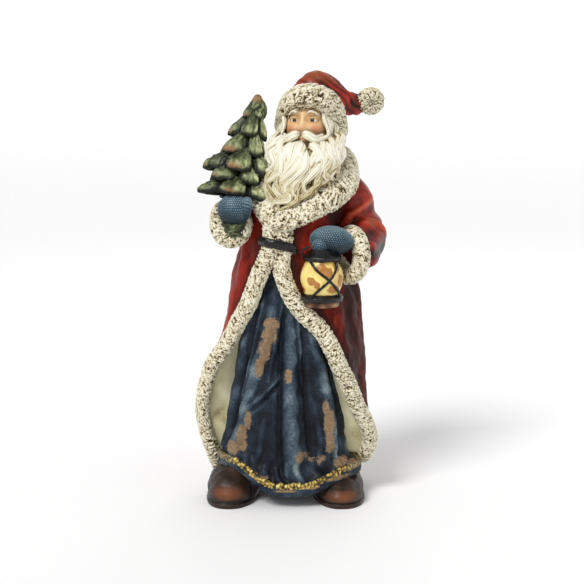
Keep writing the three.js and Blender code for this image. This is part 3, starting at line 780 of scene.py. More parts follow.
def make_lining():
    """The cream inside of the two flaps: a wavy sheet that lies on the coat's inside near each front edge,
    with its hidden side sunk into the wall. It has painted shade near the trim and towards its inner side, by
    the gown."""
    inside = coat_inside(np.linspace(0, 1, 80), 221, 0.3, 250)
    inward = np.linspace(0, 1, 40)
    piece = Piece()
    for face, share in ((inside[:, :40], inward), (inside[:, -40:], inward[::-1])):
        out = unit(np.cross(np.gradient(face, axis=1), np.gradient(face, axis=0)))
        out = out * np.sign(-out[..., 1].sum())
        wave = 0.9 * ripple(face, 13.0, 3.0) + 0.4 * ripple(face, 5.0, 1.0)
        front, back = face + out * (1.7 + wave)[..., None], face - out * 1.5
        # painted shade near the trim and towards the gown
        painted_lining_shade = 0.3 * hump(share - 0.12, 0.1) + 0.4 * smooth(0.3, 0.75, share)
        relief = held(0.8 + 0.24 * wave - painted_lining_shade)
        grid = np.concatenate([front, back[:, ::-1]], 1)
        piece.add(grid, np.concatenate([relief, relief[:, ::-1]], 1))
    piece.finish("coat_lining", "lining_cream", LINING_PAINT)


# Fur: the room that one tuft has along and across its band, and a tuft's length and width.
TUFT_CELL, TUFT = (4.2, 2.0), (10.5, 2.5)


def fur(c, out, wide, high, around, lean, seed, rise, closed=False):
    """A fur band and its relief: an oval rod along a path whose surface rises with the tufts. A whole number
    of them goes round it. Their lean wavers, and the band swells a little from place to place."""
    grid = sweep(c, out, wide, high, around, closed)
    s, w = arcs(grid)
    girth = w[0, -1] + w[0, 1]
    cells_w, cells_s, room = max(3, round(girth / TUFT_CELL[1])), None, TUFT_CELL[0]
    if closed:
        run = s[-1, 0] + s[1, 0]
        cells_s = max(3, round(run / room))
        room = run / cells_s
    waver = 0.45 * np.sin(s / 13.0 + seed) * np.sin(w / girth * TURN + s / 29.0)
    cell = (room, girth / cells_w)
    height, tone = tufts(s, w, cell, TUFT, lean + waver, seed, (cells_w, cells_s), 1.1)
    swell = 0.8 * np.sin(s / 9.0 + 0.4 * seed) * np.cos(w / 8.0)
    return lift(grid, rise * (height - 0.62) + swell, closed), fur_relief(height, tone)


def fur_relief(height, tone):
    """How the wash lies on fur: out of the grooves early, a little more or less from tuft to tuft."""
    return held(1.1 * height - 0.04 + 0.2 * (tone - 0.5))


def out_of_body(c):
    """Level directions away from the coat's middle, turned a little to the front and the back."""
    cx, cy = read(COAT, c[:, 2])[:2]
    return unit(join(c[:, 0] - cx, 1.6 * (c[:, 1] - cy), 0.0))


def make_edge_fur():
    """The fur down both front edges and round the hem, as one band."""
    left = [(x, y, z) for z, x, y in EDGE_LEFT[:-1]][::-1]
    right = [(x, y, z) for z, x, y in EDGE_RIGHT[:-1]]
    c = path([(-18, -46, 284), *left, *HEM_BACK, *right, (-10, -46, 284)], 940)
    lean = 0.9 + 0.5 * np.sin(np.linspace(0, 40, len(c)))[:, None]
    grid, relief = fur(c, out_of_body(c), 8.6, 7.2, 54, lean, seed=3, rise=2.6)
    Piece().add(grid, relief).finish("coat_fur_edge", "fur_cream", FUR_PAINT)


COLLAR = [
    (-14, -50, 281), (2, -52, 286), (20, -50, 294), (39, -43, 303), (53.5, -27, 316), (56.5, -6, 328),
    (53, 16, 336), (36, 33, 340), (12, 39, 342), (-16, 31, 338), (-34, 14, 332), (-37, -12, 322),
    (-31, -36, 306), (-22, -47, 292),
]


def make_collar():
    """The fur collar: a closed band round the shoulders, flat side to the body."""
    c = path(COLLAR, 350, closed=True)
    out = unit(join(c[:, 0] - 12, 1.2 * c[:, 1], 24.0))
    grid, relief = fur(c, out, 13.3, 8.8, 78, lean=1.1, seed=11, rise=2.8, closed=True)
    Piece().add(grid, relief, closed=True).finish("collar", "fur_cream", FUR_PAINT)


# Hat: the band's middle, half width, half depth, how far it rises in front, its bow and its roll.
HAT_MIDDLE, HAT_WIDE, HAT_DEEP = np.array([20.0, -1.0, 374.0]), 27, 35
HAT_RISE, HAT_BOW, HAT_ROLL = 22, 3, math.tan(math.radians(6))
# The crown: its middle line over to the pompom, and its radius at shares of the way.
CROWN_LINE = [(20, 8, 366), (20, 8, 387), (27, 6, 403), (43, 5, 397), (56, 5, 390), (71, 5, 391)]
CROWN_SIZES = [(0, 26), (0.22, 27), (0.42, 20), (0.58, 15), (0.78, 12), (1, 8)]
POMPOM_MIDDLE, POMPOM = (78.3, 5, 392.5), 13.4


def make_hat_band():
    """The hat's fur band on a tilted oval, with painted shade underneath it on the left of the face."""
    turn = turns(240)
    x = HAT_WIDE * np.sin(turn)
    z = HAT_RISE * np.cos(turn) + HAT_BOW * np.cos(2 * turn) - x * HAT_ROLL
    c = HAT_MIDDLE + join(x, -HAT_DEEP * np.cos(turn), z)
    out = unit(join(x, -0.75 * HAT_DEEP * np.cos(turn), 7.0))
    grid, relief = fur(c, out, 11.8, 8.8, 74, lean=0.55, seed=21, rise=2.6, closed=True)
    x, y, z = apart(grid)
    # painted shade under the band, on the left of the face
    under = smooth(1, -9, z - c[:, None, 2]) * smooth(10, -20, y) * smooth(40, 0, x)
    relief = relief * mix(1, 0.72, under)
    Piece().add(grid, relief, closed=True).finish("hat_fur_band", "fur_cream", FUR_PAINT)


def make_hat_crown():
    """The hat's crown: a rod that narrows from the head over to the pompom, with folds and crinkles, and a
    crinkled ball under it that fills the band. The paint is rubbed orange on top, partly worn and partly a
    painted sheen."""
    c = path(CROWN_LINE, 130)
    t, turn = crossed(np.linspace(0, 1, len(c)), turns(100))
    radius = read(CROWN_SIZES, t[:, 0])[0]
    grid = sweep(c, DOWN_FRONT, radius, 0.95 * radius, 100)
    spiral = np.sin(2.5 * TURN * t + 3 * np.sin(turn)) * smooth(0.3, 0.6, t)
    folds = 1.7 * spiral + 1.1 * np.sin(26 * t + 2.2 * np.cos(turn)) * smooth(0.2, 0.5, t)
    way = (0.6, 0.3, 0.75)
    crinkle = crinkled(grid, way, 8.0, 0.4)
    grid = lift(grid, 0.7 * folds + 1.7 * (crinkle - 0.7))
    relief = held(0.12 + 0.08 * folds + 0.5 * crinkle)
    # the orange rubbed on top is partly wear and partly a painted sheen
    piece = Piece().add(grid, relief, 0.75 * smooth(400, 422, grid[..., 2]))
    ball = ellipsoid((20, 4, 377), (28, 34, 26), 64, 64, turn=(-30, 0, 0))
    crinkle = crinkled(ball, way, 9.0, 2.0)
    piece.add(lift(ball, 1.6 * (crinkle - 0.7)), held(0.16 + 0.48 * crinkle))
    piece.finish("hat_crown", "coat_red", SLEEVE_PAINT)


def make_pompom():
    """The pompom: a round ball of short tufts."""
    rows, around, cells = 84, 104, 24
    ball = ellipsoid(POMPOM_MIDDLE, (POMPOM, POMPOM, POMPOM), rows, around, axis="y")
    s, w = crossed(np.linspace(0, math.pi, rows) * POMPOM, turns(around) * POMPOM)
    height, tone = tufts(s, w, (3.6, TURN * POMPOM / cells), (7.5, 3.2), 0.4, 31, (cells, None))
    relief = fur_relief(height, tone)
    Piece().add(lift(ball, 2.8 * (height - 0.55)), relief).finish("pompom", "fur_cream", FUR_PAINT)


def ellipsoid(centre, half, rows, around, axis="z", turn=(0, 0, 0)):
    """A ball squeezed to three half sizes, its poles on the named axis, turned as spin says."""
    end = math.pi / 2 - 0.02
    rise, go = crossed(np.linspace(-end, end, rows), turns(around))
    p = [np.cos(rise) * np.cos(go), np.cos(rise) * np.sin(go), np.sin(rise)]
    order = {"z": (0, 1, 2), "y": (0, 2, 1), "x": (2, 0, 1)}[axis]
    return spin(np.stack([p[k] for k in order], -1) * half, turn) + centre


def spin(points, degrees):
    """The points turned about x, then y, then z, by degrees."""
    for axis, angle in enumerate(np.radians(degrees)):
        a, b = [(1, 2), (2, 0), (0, 1)][axis]
        pa, pb = points[..., a].copy(), points[..., b].copy()
        points = points.copy()
        points[..., a] = pa * math.cos(angle) - pb * math.sin(angle)
        points[..., b] = pa * math.sin(angle) + pb * math.cos(angle)
    return points


# Arms: the sleeves' middle lines from shoulder to wrist, and their radius at shares of the way.
SLEEVE_RIGHT = [(38, 2, 312), (56, 6, 304), (64.5, 8, 286), (68, 9, 265), (66.5, -6, 253), (60, -27, 246)]
SLEEVE_LEFT = [(-20, 4, 312), (-42, 8, 300), (-52, 10, 285), (-54, 4, 273), (-56, -14, 271), (-58, -30, 275)]
SLEEVE_SIZES = [(0, 13), (0.2, 18), (0.45, 20), (0.66, 25.5), (0.85, 25), (1, 21)]
# Where the right sleeve's paint is rubbed: x, y, z and a radius.
SLEEVE_WORN = [(83, -16, 279, 10), (84, -20, 257, 5)]
# The right sleeve's sharp fold, from the chest up to its outer side: x and z at both ends.
FOLD_START, FOLD_STOP = np.array([56.0, 280.0]), np.array([80.0, 296.0])
# Each mitten's hand and thumb: the middle, the half sizes and the turn about x, y and z.
MITTEN_RIGHT = [((39, -50, 261), (21, 16, 14), (0, 6, 0)), ((28, -60, 256), (8, 7, 8), (0, 20, 0))]
MITTEN_LEFT = [((-54, -52, 291), (16, 15, 15), (0, 0, 0)), ((-43, -60, 294), (6, 6, 10), (0, 15, 0))]
STITCH_WIDE, STITCH_TALL = 2.5, 2.1


def make_sleeve(name, points, side, scale, worn):
    """A sleeve carried from shoulder to wrist, with folds that gather at the elbow and run to the cuff, and
    soft crinkles. It has painted shade low down and is more creased there, and the right one has a sharp fold
    of its own, with painted shade in the crease where it meets the chest."""
    right = side > 0
    c = path(points, 120)
    t, turn = crossed(np.linspace(0, 1, len(c)), turns(100))
    way = t[:, 0]
    radius = read(SLEEVE_SIZES, way)[0] * scale
    out = join(side * mix(0.3, 1, way), way - 1, 0.2)
    grid = sweep(c, out, radius, radius, 100)
    folds = 1.3 * np.sin(3 * TURN * t + turn) * smooth(0.2, 0.5, t)
    folds = folds + 1.6 * np.sin(30 * t + 1.6 * np.sin(turn * 2)) * hump(t - 0.55, 0.2)
    folds = folds + 1.2 * np.sin(7 * turn + 5 * t) * smooth(0.55, 0.9, t)
    crinkle = crinkled(grid, (0.4, 0.4, 0.8), 13.0, 1.0)
    grid = lift(grid, folds + 0.7 * (crinkle - 0.7))
    # painted shade low down on the sleeve, fuller on the right one
    low = smooth(274, 244, grid[..., 2]) * (1 if right else 0.4)
    relief = 0.44 - 0.42 * low + 0.12 * folds + (0.18 + 0.14 * low) * crinkle
    if right:
        # shade is painted shade in the crease where the sleeve meets the chest
        ridge, shade = sleeve_fold(grid)
        grid = lift(grid, ridge)
        relief = relief + 0.16 * ridge - shade
    wear = np.zeros(grid.shape[:2])
    for *place, size in worn:
        wear = np.maximum(wear, np.exp(-(((grid - place) / size) ** 2).sum(-1)))
    Piece().add(grid, held(relief), wear).finish(name, "coat_red", SLEEVE_PAINT)


def sleeve_fold(p):
    """The right sleeve's sharp fold, a bell-shaped ridge along a line seen from in front with a softer hollow
    under it, and the painted shade in the crease where the sleeve meets the chest."""
    length = np.linalg.norm(FOLD_STOP - FOLD_START)
    way = (FOLD_STOP - FOLD_START) / length
    flat = p[..., [0, 2]] - FOLD_START
    along, off = flat @ way, flat @ np.array([-way[1], way[0]])
    here = smooth(-6, 4, along) * smooth(length + 8, length - 4, along) * smooth(4, -10, p[..., 1])
    ridge = here * (2.4 * hump(off, 2.8) - 1.5 * hump(off + 6.5, 4.0))
    # the second value is painted shade in the crease beside the chest
    return ridge, 0.34 * smooth(56, 44, p[..., 0]) * smooth(6, -6, p[..., 1])


def make_cuff(name, centre, axis, wide, tall, thick, length, seed):
    """A fur cuff: a band round an oval that is square to the wrist."""
    axis = unit(np.array(axis, float))
    level = unit(np.cross(axis, [0, 0, 1.0]))
    up = np.cross(level, axis)
    turn = turns(160)[:, None]
    c = np.array(centre) + level * wide * np.cos(turn) + up * tall * np.sin(turn)
    out = unit(c - centre)
    grid, relief = fur(c, out, length / 2, thick / 2, 54, lean=1.2, seed=seed, rise=2.4, closed=True)
    Piece().add(grid, relief, closed=True).finish(name, "fur_cream", FUR_PAINT)


def knit(s, w):
    """Knitting: columns of small stitches that slant to and fro, each a rounded bump."""
    column = np.floor(w / STITCH_WIDE)
    slant = np.where(np.mod(column, 2) > 0, 0.5, -0.5)
    along = np.sin(math.pi * (s + slant * (w - column * STITCH_WIDE)) / STITCH_TALL) ** 2
    return along * np.sin(math.pi * w / STITCH_WIDE) ** 2


def make_mitten(name, balls):
    """A knitted mitten from two overlapping balls, the hand and the thumb, each with an even number of
    stitches round it, a painted highlight on its upper side and painted shade on its lower side."""
    piece = Piece()
    for centre, half, turn in balls:
        mean = sum(half) / 3
        rows, around = 2 * round(3 * mean), 2 * round(3.8 * mean)
        ball = ellipsoid(centre, half, rows, around, axis="x", turn=turn)
        stitches = max(4, 2 * round(TURN * mean / (2 * STITCH_WIDE)))
        girth = stitches * STITCH_WIDE
        s, w = crossed(np.linspace(0, math.pi, rows) * mean * 1.05, np.arange(around) / around * girth)
        bumps = knit(s, w)
        # lit: a painted highlight on the upper side and painted shade on the lower
        lit = (ball[..., 2] - centre[2]) / half[2]
        relief = held(0.2 + 0.6 * bumps + 0.32 * lit * (0.4 + bumps))
        piece.add(lift(ball, 0.8 * (bumps - 0.5)), relief)
    piece.finish(name, "mitten_blue", MITTEN_PAINT)


# Head: its middle, the half sizes of its oval, and how far it is turned and lifted, in degrees.
HEAD, SKULL = np.array([18.0, -8.0, 370.0]), (24, 29, 31)
FACE_TURN, FACE_LIFT = -14, -8
EYE = (8.8, -21.6, 1.5)  # an eye's place in the head: half the space between them, forward, up
EYE_BALL = 4.9


def to_head(points):
    """Points of the upright head, looking to -Y, put in their place."""
    return spin(np.asarray(points, float), (FACE_LIFT, 0, 0)) @ turn_z(FACE_TURN) + HEAD


def turn_z(degrees):
    """The matrix that turns row vectors about z."""
    a = math.radians(degrees)
    return np.array([[math.cos(a), math.sin(a), 0], [-math.sin(a), math.cos(a), 0], [0, 0, 1]])


def face_rise(x, z):
    """How far the features stand out of the oval, from bell curves: nose, nostrils, brow, cheeks, sockets,
    lips and the furrow beside the nose."""

    def bell(*place):
        """One bell on the face."""
        return spot(x, z, *place)

    def pair(px, *rest):
        """The same bell on both sides."""
        return bell(px, *rest) + bell(-px, *rest)

    nose = 3.6 * bell(0, 1, 2.9, 6) + 7.8 * bell(0, -6.5, 3.7, 4.0) + 2.8 * pair(4.0, -8.2, 2.0, 2.2)
    muzzle = 5.5 * bell(0, -17, 9, 6) + 4.0 * bell(0, -26, 9, 5)
    brow = 1.8 * pair(8.8, 8.6, 6.5, 2.6) + 1.0 * bell(0, 11, 14, 5)
    sockets = -3.2 * pair(9.2, 2.2, 5.6, 4.0) - 1.3 * pair(3.6, 4.5, 2.2, 3.5)
    cheeks = 3.4 * pair(12, -6.5, 6.0, 4.6) + 0.9 * pair(9.5, -2.8, 4.5, 1.4)
    lips = 1.6 * bell(0, -15.5, 5.5, 1.5) + 1.9 * bell(0, -18.6, 4.6, 1.5) - 1.0 * bell(0, -17.0, 6.0, 0.6)
    beside_nose = 5.5 + 0.25 * (-8 - z)
    furrow = -0.9 * hump(np.abs(x) - beside_nose, 1.3) * smooth(-6, -9, z) * smooth(-18, -12, z)
    return nose + muzzle + brow + sockets + cheeks + lips + furrow


def make_head():
    """The head: an oval, drawn in under the hat, whose front is pushed out by the features and has fine lines
    across the forehead. The wash lies in the lines, the slopes of the features are darkened as painted shade,
    and cheeks, nose and lips are rosy."""
    rise, go = crossed(np.linspace(-1.55, 1.55, 150), turns(160))
    go = go + 0.45 * np.sin(go)  # closer together in front
    facing = -np.cos(rise) * np.cos(go)
    x, z = SKULL[0] * np.cos(rise) * np.sin(go), SKULL[2] * np.sin(rise)
    front = smooth(0.0, -0.45, facing)
    features = face_rise(x, z) * front
    lines = -0.35 * front * hump(np.mod(z - 0.06 * x * x, 3.4) - 1.7, 0.35) * smooth(9, 12, z)
    y = SKULL[1] * facing - features + 6 * smooth(13, 22, z) * front - lines
    # painted shade on the slopes of the features, to show their shape
    step = 0.5
    slope_x = face_rise(x + step, z) - face_rise(x - step, z)
    slope_z = face_rise(x, z + step) - face_rise(x, z - step)
    slope = np.minimum(np.hypot(slope_x, slope_z), 2) * front
    relief = held(0.66 + 0.04 * (features - 2) - 0.11 * slope + 1.2 * lines)
    cheeks = 0.9 * spot(np.abs(x), z, 12.5, -6.5, 5.0, 4.0)
    nose, lips = 0.75 * spot(x, z, 0, -7.5, 3.4, 3.0), 0.55 * spot(x, z, 0, -17.0, 4.8, 1.9)
    blush = held((cheeks + nose + lips) * front)
    Piece().add(to_head(join(x, y, z)), relief, blush).finish("head", "flesh", FLESH_PAINT)


def make_eyes():
    """The eyes, half balls whose relief mark is the distance from their middle, and two lids on each."""
    rise, go = crossed(np.linspace(0.02, math.pi / 2, 40), turns(40))
    ball = EYE_BALL * join(np.sin(rise) * np.cos(go), -np.cos(rise), np.sin(rise) * np.sin(go))
    eyes, lids = Piece(), Piece()
    for side in (-1, 1):
        centre = np.array([side * EYE[0], EYE[1], EYE[2]])
        eyes.add(to_head(ball + centre), held(rise * EYE_BALL / 5.0))
        for up, opening, reach in ((1, 19, 74), (-1, 21, 66)):
            lids.add(*eyelid(centre, side, up, opening, reach))
    eyes.finish("eyes", "beard_white", EYE_PAINT)
    lids.finish("eyelids", "flesh", FLESH_PAINT)


def eyelid(centre, side, up, opening, reach):
    """A lid's grid and relief: a thin shell round the eyeball from the almond-shaped opening to the socket,
    with a rolled edge. Angles are level ones from straight ahead, then up or down from the eye's middle."""
    level, share = crossed(np.linspace(-78, 78, 48), np.linspace(0, 1, 15))
    almond = held(np.cos(1.5 * np.radians(level - 6 * side))) ** 0.7
    rise = np.radians(mix(opening * almond - 1.5, reach, share**1.3))
    thick = EYE_BALL + 0.25 + 0.75 * smooth(0, 0.12, share) - 0.5 * smooth(0.2, 1, share)
    a = np.radians(level)

    def shell(r):
        """The lid's points at a distance from the eyeball's middle."""
        level_r = r * np.cos(rise)
        return join(level_r * np.sin(a), -level_r * np.cos(a), up * r * np.sin(rise))

    loop = np.concatenate([shell(thick), shell(EYE_BALL - 0.5)[:, ::-1]], 1)
    relief = np.where(share < 0.05, 0.12, 0.42 + 0.2 * smooth(0.05, 0.5, share))
    return to_head(loop + centre), np.concatenate([relief, np.full(share.shape, 0.3)], 1)


# Beard: a height, then the middle x and y and the half sizes there; and where across it the lowest point is.
BEARD = [
    (280, -12, -40, 5, 14), (288, -6, -38, 14, 18), (296, -2, -37, 24, 21), (306, 3, -36, 31, 22),
    (314, 6.5, -35, 35, 23), (333, 11.5, -32, 36, 27), (346, 14, -28, 37, 26), (356, 16, -22, 35, 22),
    (368, 18, -14, 30, 16),
]
BEARD_TIP = -0.25


def beard_foot(share):
    """The beard's lower edge across its width: a bow, lowest left of the middle, with the tips of locks."""
    return 281 + 34 * np.abs(share - BEARD_TIP) ** 1.6 - 1.75 * np.cos(TURN * 5.5 * share)


def lock_depth(share, drop):
    """Locks that run down the beard and swing as they go; between them it is cut in."""
    swing = 0.09 * np.sin(TURN * 1.4 * drop + 6 * share) * (0.3 + drop)
    return 2.6 * np.cos(TURN * 5.5 * (share + swing)) * smooth(0.12, 0.4, drop) - 0.6


def strand_lock(c, out, width, deep, strands, drift=0.0, taper=0.42, around=30):
    """A lock of hair and its relief: a flattened rod whose half width falls from full to the taper and closes
    in a point. Rounded strands with narrow grooves between them run along its outer side, which has three
    quarters of its points."""
    t = np.linspace(0, 1, len(c))[:, None]
    share = np.arange(around) / around
    turn = math.pi * np.where(share < 0.75, share / 0.75, 1 + (share - 0.75) / 0.25)
    tip = np.sqrt(smooth(-0.01, 0.16, t) * smooth(1.02, 0.82, t))
    size = mix(1, taper, smooth(0.2, 0.8, t)) * mix(0.7, 1, smooth(0, 0.2, t)) * tip
    side, up = across(c, out)
    x, y = np.cos(turn), np.sin(turn)
    phase = math.pi * (strands * (0.5 * x + 0.5) + drift * t + 0.25)
    ridge = np.abs(np.cos(phase)) ** 0.7 * smooth(-0.1, 0.35, y)
    coarse = 0.5 + 0.5 * np.cos(2 * phase / 3 + 1)
    high = size * (deep * y + (0.7 * ridge + 0.6 * coarse) * (y > 0))
    grid = c[:, None] + side[:, None] * (width * size * x)[..., None] + up[:, None] * high[..., None]
    return grid, held(0.02 + 0.52 * ridge + 0.18 * coarse + 0.18 * held(y))


# The beard's locks, each x and z down its middle: half width, strands, and its points.
CHIN_LOCK = (8.5, 6, [(8.5, 356), (6, 348), (2.5, 338), (-3.5, 329), (-11, 321)])
BEARD_LOCKS = [
    (6, 5, [(-5.5, 354), (-7.8, 344), (-8.6, 335), (-10, 327), (-16, 322), (-21, 318), (-23, 311), (-20, 305),
            (-17, 302), (-19.5, 299), (-24, 297)]),
    (7, 6, [(4.7, 352), (7.8, 346), (7, 338), (1.6, 330), (-5.5, 323), (-12, 318), (-15, 313), (-13, 307),
            (-9, 305), (-6, 302)]),
    (6, 5, [(12.5, 352), (13, 343), (11.7, 333), (6, 326), (0, 320), (-5.5, 314), (-5.5, 309), (-1.6, 305),
            (-2.3, 300), (-8.6, 299), (-15, 298), (-16.5, 292), (-15, 287)]),
    (5, 4, [(15.6, 336), (11, 325), (4.7, 318), (1.6, 312), (2.3, 306), (7.8, 303), (14, 301)]),
    (5, 4, [(28, 336), (23, 329), (16, 322), (12, 317), (12.5, 310), (17, 306), (19, 302)]),
    (4.6, 4, [(18, 354), (23, 349), (25, 344), (20, 338), (15.6, 334)]),
    (4.6, 4, [(31, 355), (27, 346), (30, 338), (29.6, 330), (26.5, 325), (28, 319), (31.5, 314)]),
    (4.6, 4, [(36.6, 353), (35, 344), (39, 337), (36, 329), (30, 324), (32.7, 318)]),
    (4.6, 4, [(43.6, 351), (42, 342), (44, 334), (39, 326), (36, 321), (39, 318)]),
    (4.4, 4, [(48, 354), (49, 344), (45, 334), (46, 327), (42, 321)]),
    (5, 4, [(-13, 352), (-16.4, 344), (-15, 336), (-20, 329), (-26, 325), (-25.7, 321)]),
    (4.5, 4, [(-18.7, 355), (-21.8, 347), (-21, 340), (-17, 334)]),
]


def on_beard(x, z, proud):
    """The place on the beard's oval at x and z, that far proud of it, and the direction out of it."""
    cx, cy, wide, deep = read(BEARD, z)
    share = np.clip((x - cx) / wide, -0.97, 0.97)
    arch = np.sqrt(1 - share**2)
    place = join(cx + (wide + proud) * share, cy - (deep + proud) * arch, z)
    return place, unit(join(share / wide, -arch / deep, 0.006))


def beard_lock(width, strands, points, rows, proud, drift=0.6, taper=0.42, around=30, shade=0.0):
    """A lock laid on the beard along its x and z points, its upper end tucked in where it starts high up, and
    its relief, which falls towards the beard's foot and is lowered by shade, a painted shade."""
    flat = path([(x, 0, z) for x, z in points], rows)
    x, z = flat[:, 0], flat[:, 2]
    start_x, start_z = points[0]
    bow = proud * (0.6 + 0.4 * np.sin(np.linspace(0, 9, rows) + start_x))
    bow = bow - 5.5 * smooth(0.25, 0, np.linspace(0, 1, rows)) * smooth(340, 350, start_z)
    c, out = on_beard(x, z, bow)
    grid, relief = strand_lock(c, out, width, 0.5 * width, strands, drift, taper, around)
    height = mix(0.06, -0.13, smooth(344, 310, z))[:, None]
    # shade lowers the relief as painted shade
    return grid, held(relief + height - shade)


def beard_body():
    """The beard's body and its relief: the table's oval from under the mouth to the beard's foot, cut into
    locks with fine strands, and drawn in where it goes under the mouth. Its relief is low, a wash and painted
    shade where it shows between the locks, and falls towards the foot. Its hidden back is lighter."""
    right_angle = math.pi / 2
    v, turn = crossed(np.linspace(0, 1, 70), np.radians(np.linspace(-150, 150, 160)))
    turn_front = np.clip(turn, -right_angle, right_angle)
    share, drop = np.sin(turn_front), 1 - v
    z = mix(350 + 17 * share**2, beard_foot(share), drop)
    cx, cy, wide, deep = read(BEARD, z)
    cut = lock_depth(share, drop) * np.maximum(0, np.cos(turn * 0.9))
    round_back = share + 0.6 * (turn - turn_front)
    strand = np.cos(TURN * 24 * (round_back + 0.1 * np.sin(TURN * 1.3 * drop + 5 * share)))
    out = 0.8 * cut + 0.4 * strand - 2.2 - 7 * smooth(0.22, 0, drop) * (1 - share**2)
    grid = join(cx + wide * np.sin(turn), cy - (deep + out) * np.cos(turn), z)
    back = smooth(1.1, 1.6, np.abs(turn))
    # low relief: wash and painted shade in the gaps between the locks, darker towards the foot
    relief = 0.3 + 0.3 * back + 0.06 * cut + 0.16 * (1 - 0.5 * back) * strand - 0.14 * smooth(0.3, 0.8, drop)
    return grid, held(relief)


def filler_lock(k):
    """One of the shorter locks, darkened with painted shade, that fill the hollows between the chosen ones.
    Most start anywhere down the beard, and every third one near its foot."""
    luck = [float(chance(k, 9, j)) for j in range(5)]
    start = -0.93 + 1.86 * ((k * 0.618) % 1.0)
    top = mix(346, 312, luck[0]) if k % 3 else mix(316, 300, luck[0])
    foot = max(top - 26 - 14 * luck[1], float(beard_foot(np.array(start))) - 3)
    t = np.linspace(0, 1, 7)
    z = mix(max(top, foot + 20), foot, t)
    cx, _, wide, _ = read(BEARD, z)
    swing = (2.2 + 3.6 * t) * np.sin(TURN * (0.85 + 0.3 * luck[2]) * t + TURN * luck[3])
    x = cx + wide * start * mix(0.96, 1, t) - 5 * t * (1 - abs(start)) + swing
    # shade darkens the filler as painted shade in its hollow
    return beard_lock(3.6 + luck[4], 3, list(zip(x, z)), 32, 1.0, drift=1.5, taper=0.4, around=16, shade=0.2)


def cheek_lock(k):
    """One of the locks that start along the beard's upper edge, by turns on the right and on the left."""
    luck = [float(chance(k, 4, j)) for j in range(4)]
    start = (0.28 + 0.69 * (k // 2) / 6) * (1 if k % 2 else -1)
    top = 351 + 13 * start**2 + 3 * luck[0]
    t = np.linspace(0, 1, 6)
    z = mix(top, top - 27 - 8 * luck[1], t)
    cx, _, wide, _ = read(BEARD, z)
    x = cx + wide * start * mix(1.0, 0.97, t) - 3 * t + (1.6 + 2.4 * t) * np.sin(TURN * (t + luck[2]))
    return beard_lock(4.2 + luck[3], 4, list(zip(x, z)), 34, 1.4, drift=1.2, taper=0.5, around=18)


def make_beard():
    """The beard: a body cut into locks, fillers, locks from its upper edge, a broad soft one under the mouth,
    and over them the long curling ones chosen one by one."""
    grid, relief = beard_body()
    piece = Piece().add(grid, relief, ends=[(-6, -38, 292), (18, -14, 352)])
    for k in range(24):
        piece.add(*filler_lock(k))
    for k in range(14):
        piece.add(*cheek_lock(k))
    piece.add(*beard_lock(*CHIN_LOCK, rows=44, proud=0.8, drift=0.4, taper=0.5, around=46))
    for k, (width, strands, points) in enumerate(BEARD_LOCKS):
        piece.add(*beard_lock(width, strands, points, 8 * len(points), 1.6 + 0.5 * (k % 3), drift=0.8))
    piece.finish("beard", "beard_white", HAIR_PAINT)


# Hair: each wing of the moustache has three locks, with their drop, reach and half width.
MOUSTACHE = [(0, 25, 4.2), (-2.6, 22, 3.8), (2.0, 20, 3.0)]
BROW = [(4.4, -29.6, 8.1), (9.0, -29.8, 9.3), (14.8, -25.6, 6.4)]


def free_lock(c, out, width, deep, strands, drift=0.8):
    """A lock that lies on nothing, and its relief. out may be one direction for the whole lock."""
    out = np.broadcast_to(np.array(out, float), c.shape)
    return strand_lock(c, unit(out), width, deep, strands, drift, 0.6, 20)


def make_moustache():
    """The moustache, two wings of three locks that lie over one another, and the brows."""
    piece = Piece()
    for side in (-1, 1):
        for k, (drop, reach, width) in enumerate(MOUSTACHE):
            rows = [
                (0.8, -31.8, -11.6), (7, -33.4, -13.6), (14, -31.0, -17.0), (0.8 * reach, -27.0, -16.0),
                (reach, -21, -12.4 - drop * 0.5),
            ]
            local = [(side * x, y - 0.6 * k, z + drop * (0.3 + x / 30)) for x, y, z in rows]
            piece.add(*free_lock(to_head(path(local, 44)), (0.1, -1, 0.25), width, 3.2, 4))
        brow = to_head(path([(side * x, y, z) for x, y, z in BROW], 36))
        piece.add(*free_lock(brow, (0.0, -1, 0.5), 1.5, 1.2, 3, drift=2.0))
    piece.finish("moustache_and_brows", "beard_white", HAIR_PAINT)


def hanging_lock(k):
    """One of the locks that hang from under the hat down both sides and round the back."""
    a, b = float(chance(k, 5, 1)), float(chance(k, 5, 2))
    side = 1 if k % 2 else -1
    t = np.linspace(0, 1, 7)
    angle = math.radians(64 + 84 * (k // 2) / 10 + 4 * (a - 0.5))
    turn = side * (angle + 0.05 * np.sin(TURN * (t + b)))
    wide, deep = 25.5 + 8.5 * t + np.sin(TURN * (0.8 * t + a)), 28.5 + 4.5 * t
    x, y, z = 18 + wide * np.sin(turn), -5 - deep * np.cos(turn), 381 - 3 * a - (38 + 5 * b) * t
    c = path(join(x, y, z), 28)
    out = unit(join(np.sin(turn), -np.cos(turn), 0.0))
    out = np.stack([np.interp(np.linspace(0, 1, len(c)), t, out[:, j]) for j in range(3)], -1)
    return free_lock(c, out, 5.0, 2.8, 4)


def sideburn_lock(k):
    """One of the thin wavy locks from the temple down the side of the face, each row farther back."""
    side, row = 1 if k % 2 else -1, k // 2
    t = np.linspace(0, 1, 8)
    wave = (0.8 + 1.2 * t) * np.sin(TURN * (1.25 * t + 0.23 * row + 0.4 * (side > 0)))
    x = 18.6 + 1.5 * row + 5.5 * t**1.5 + wave
    y = -19.5 + 3.6 * row - 3.0 * t + 0.4 * wave
    z = 15 - 0.5 * row - (33 + 3 * row) * t
    c = to_head(path(join(side * x, y, z), 34))
    return free_lock(c, (side * (0.35 + 0.14 * row), -1 + 0.12 * row, 0.0), 2.7, 2.2, 3, drift=1.5)


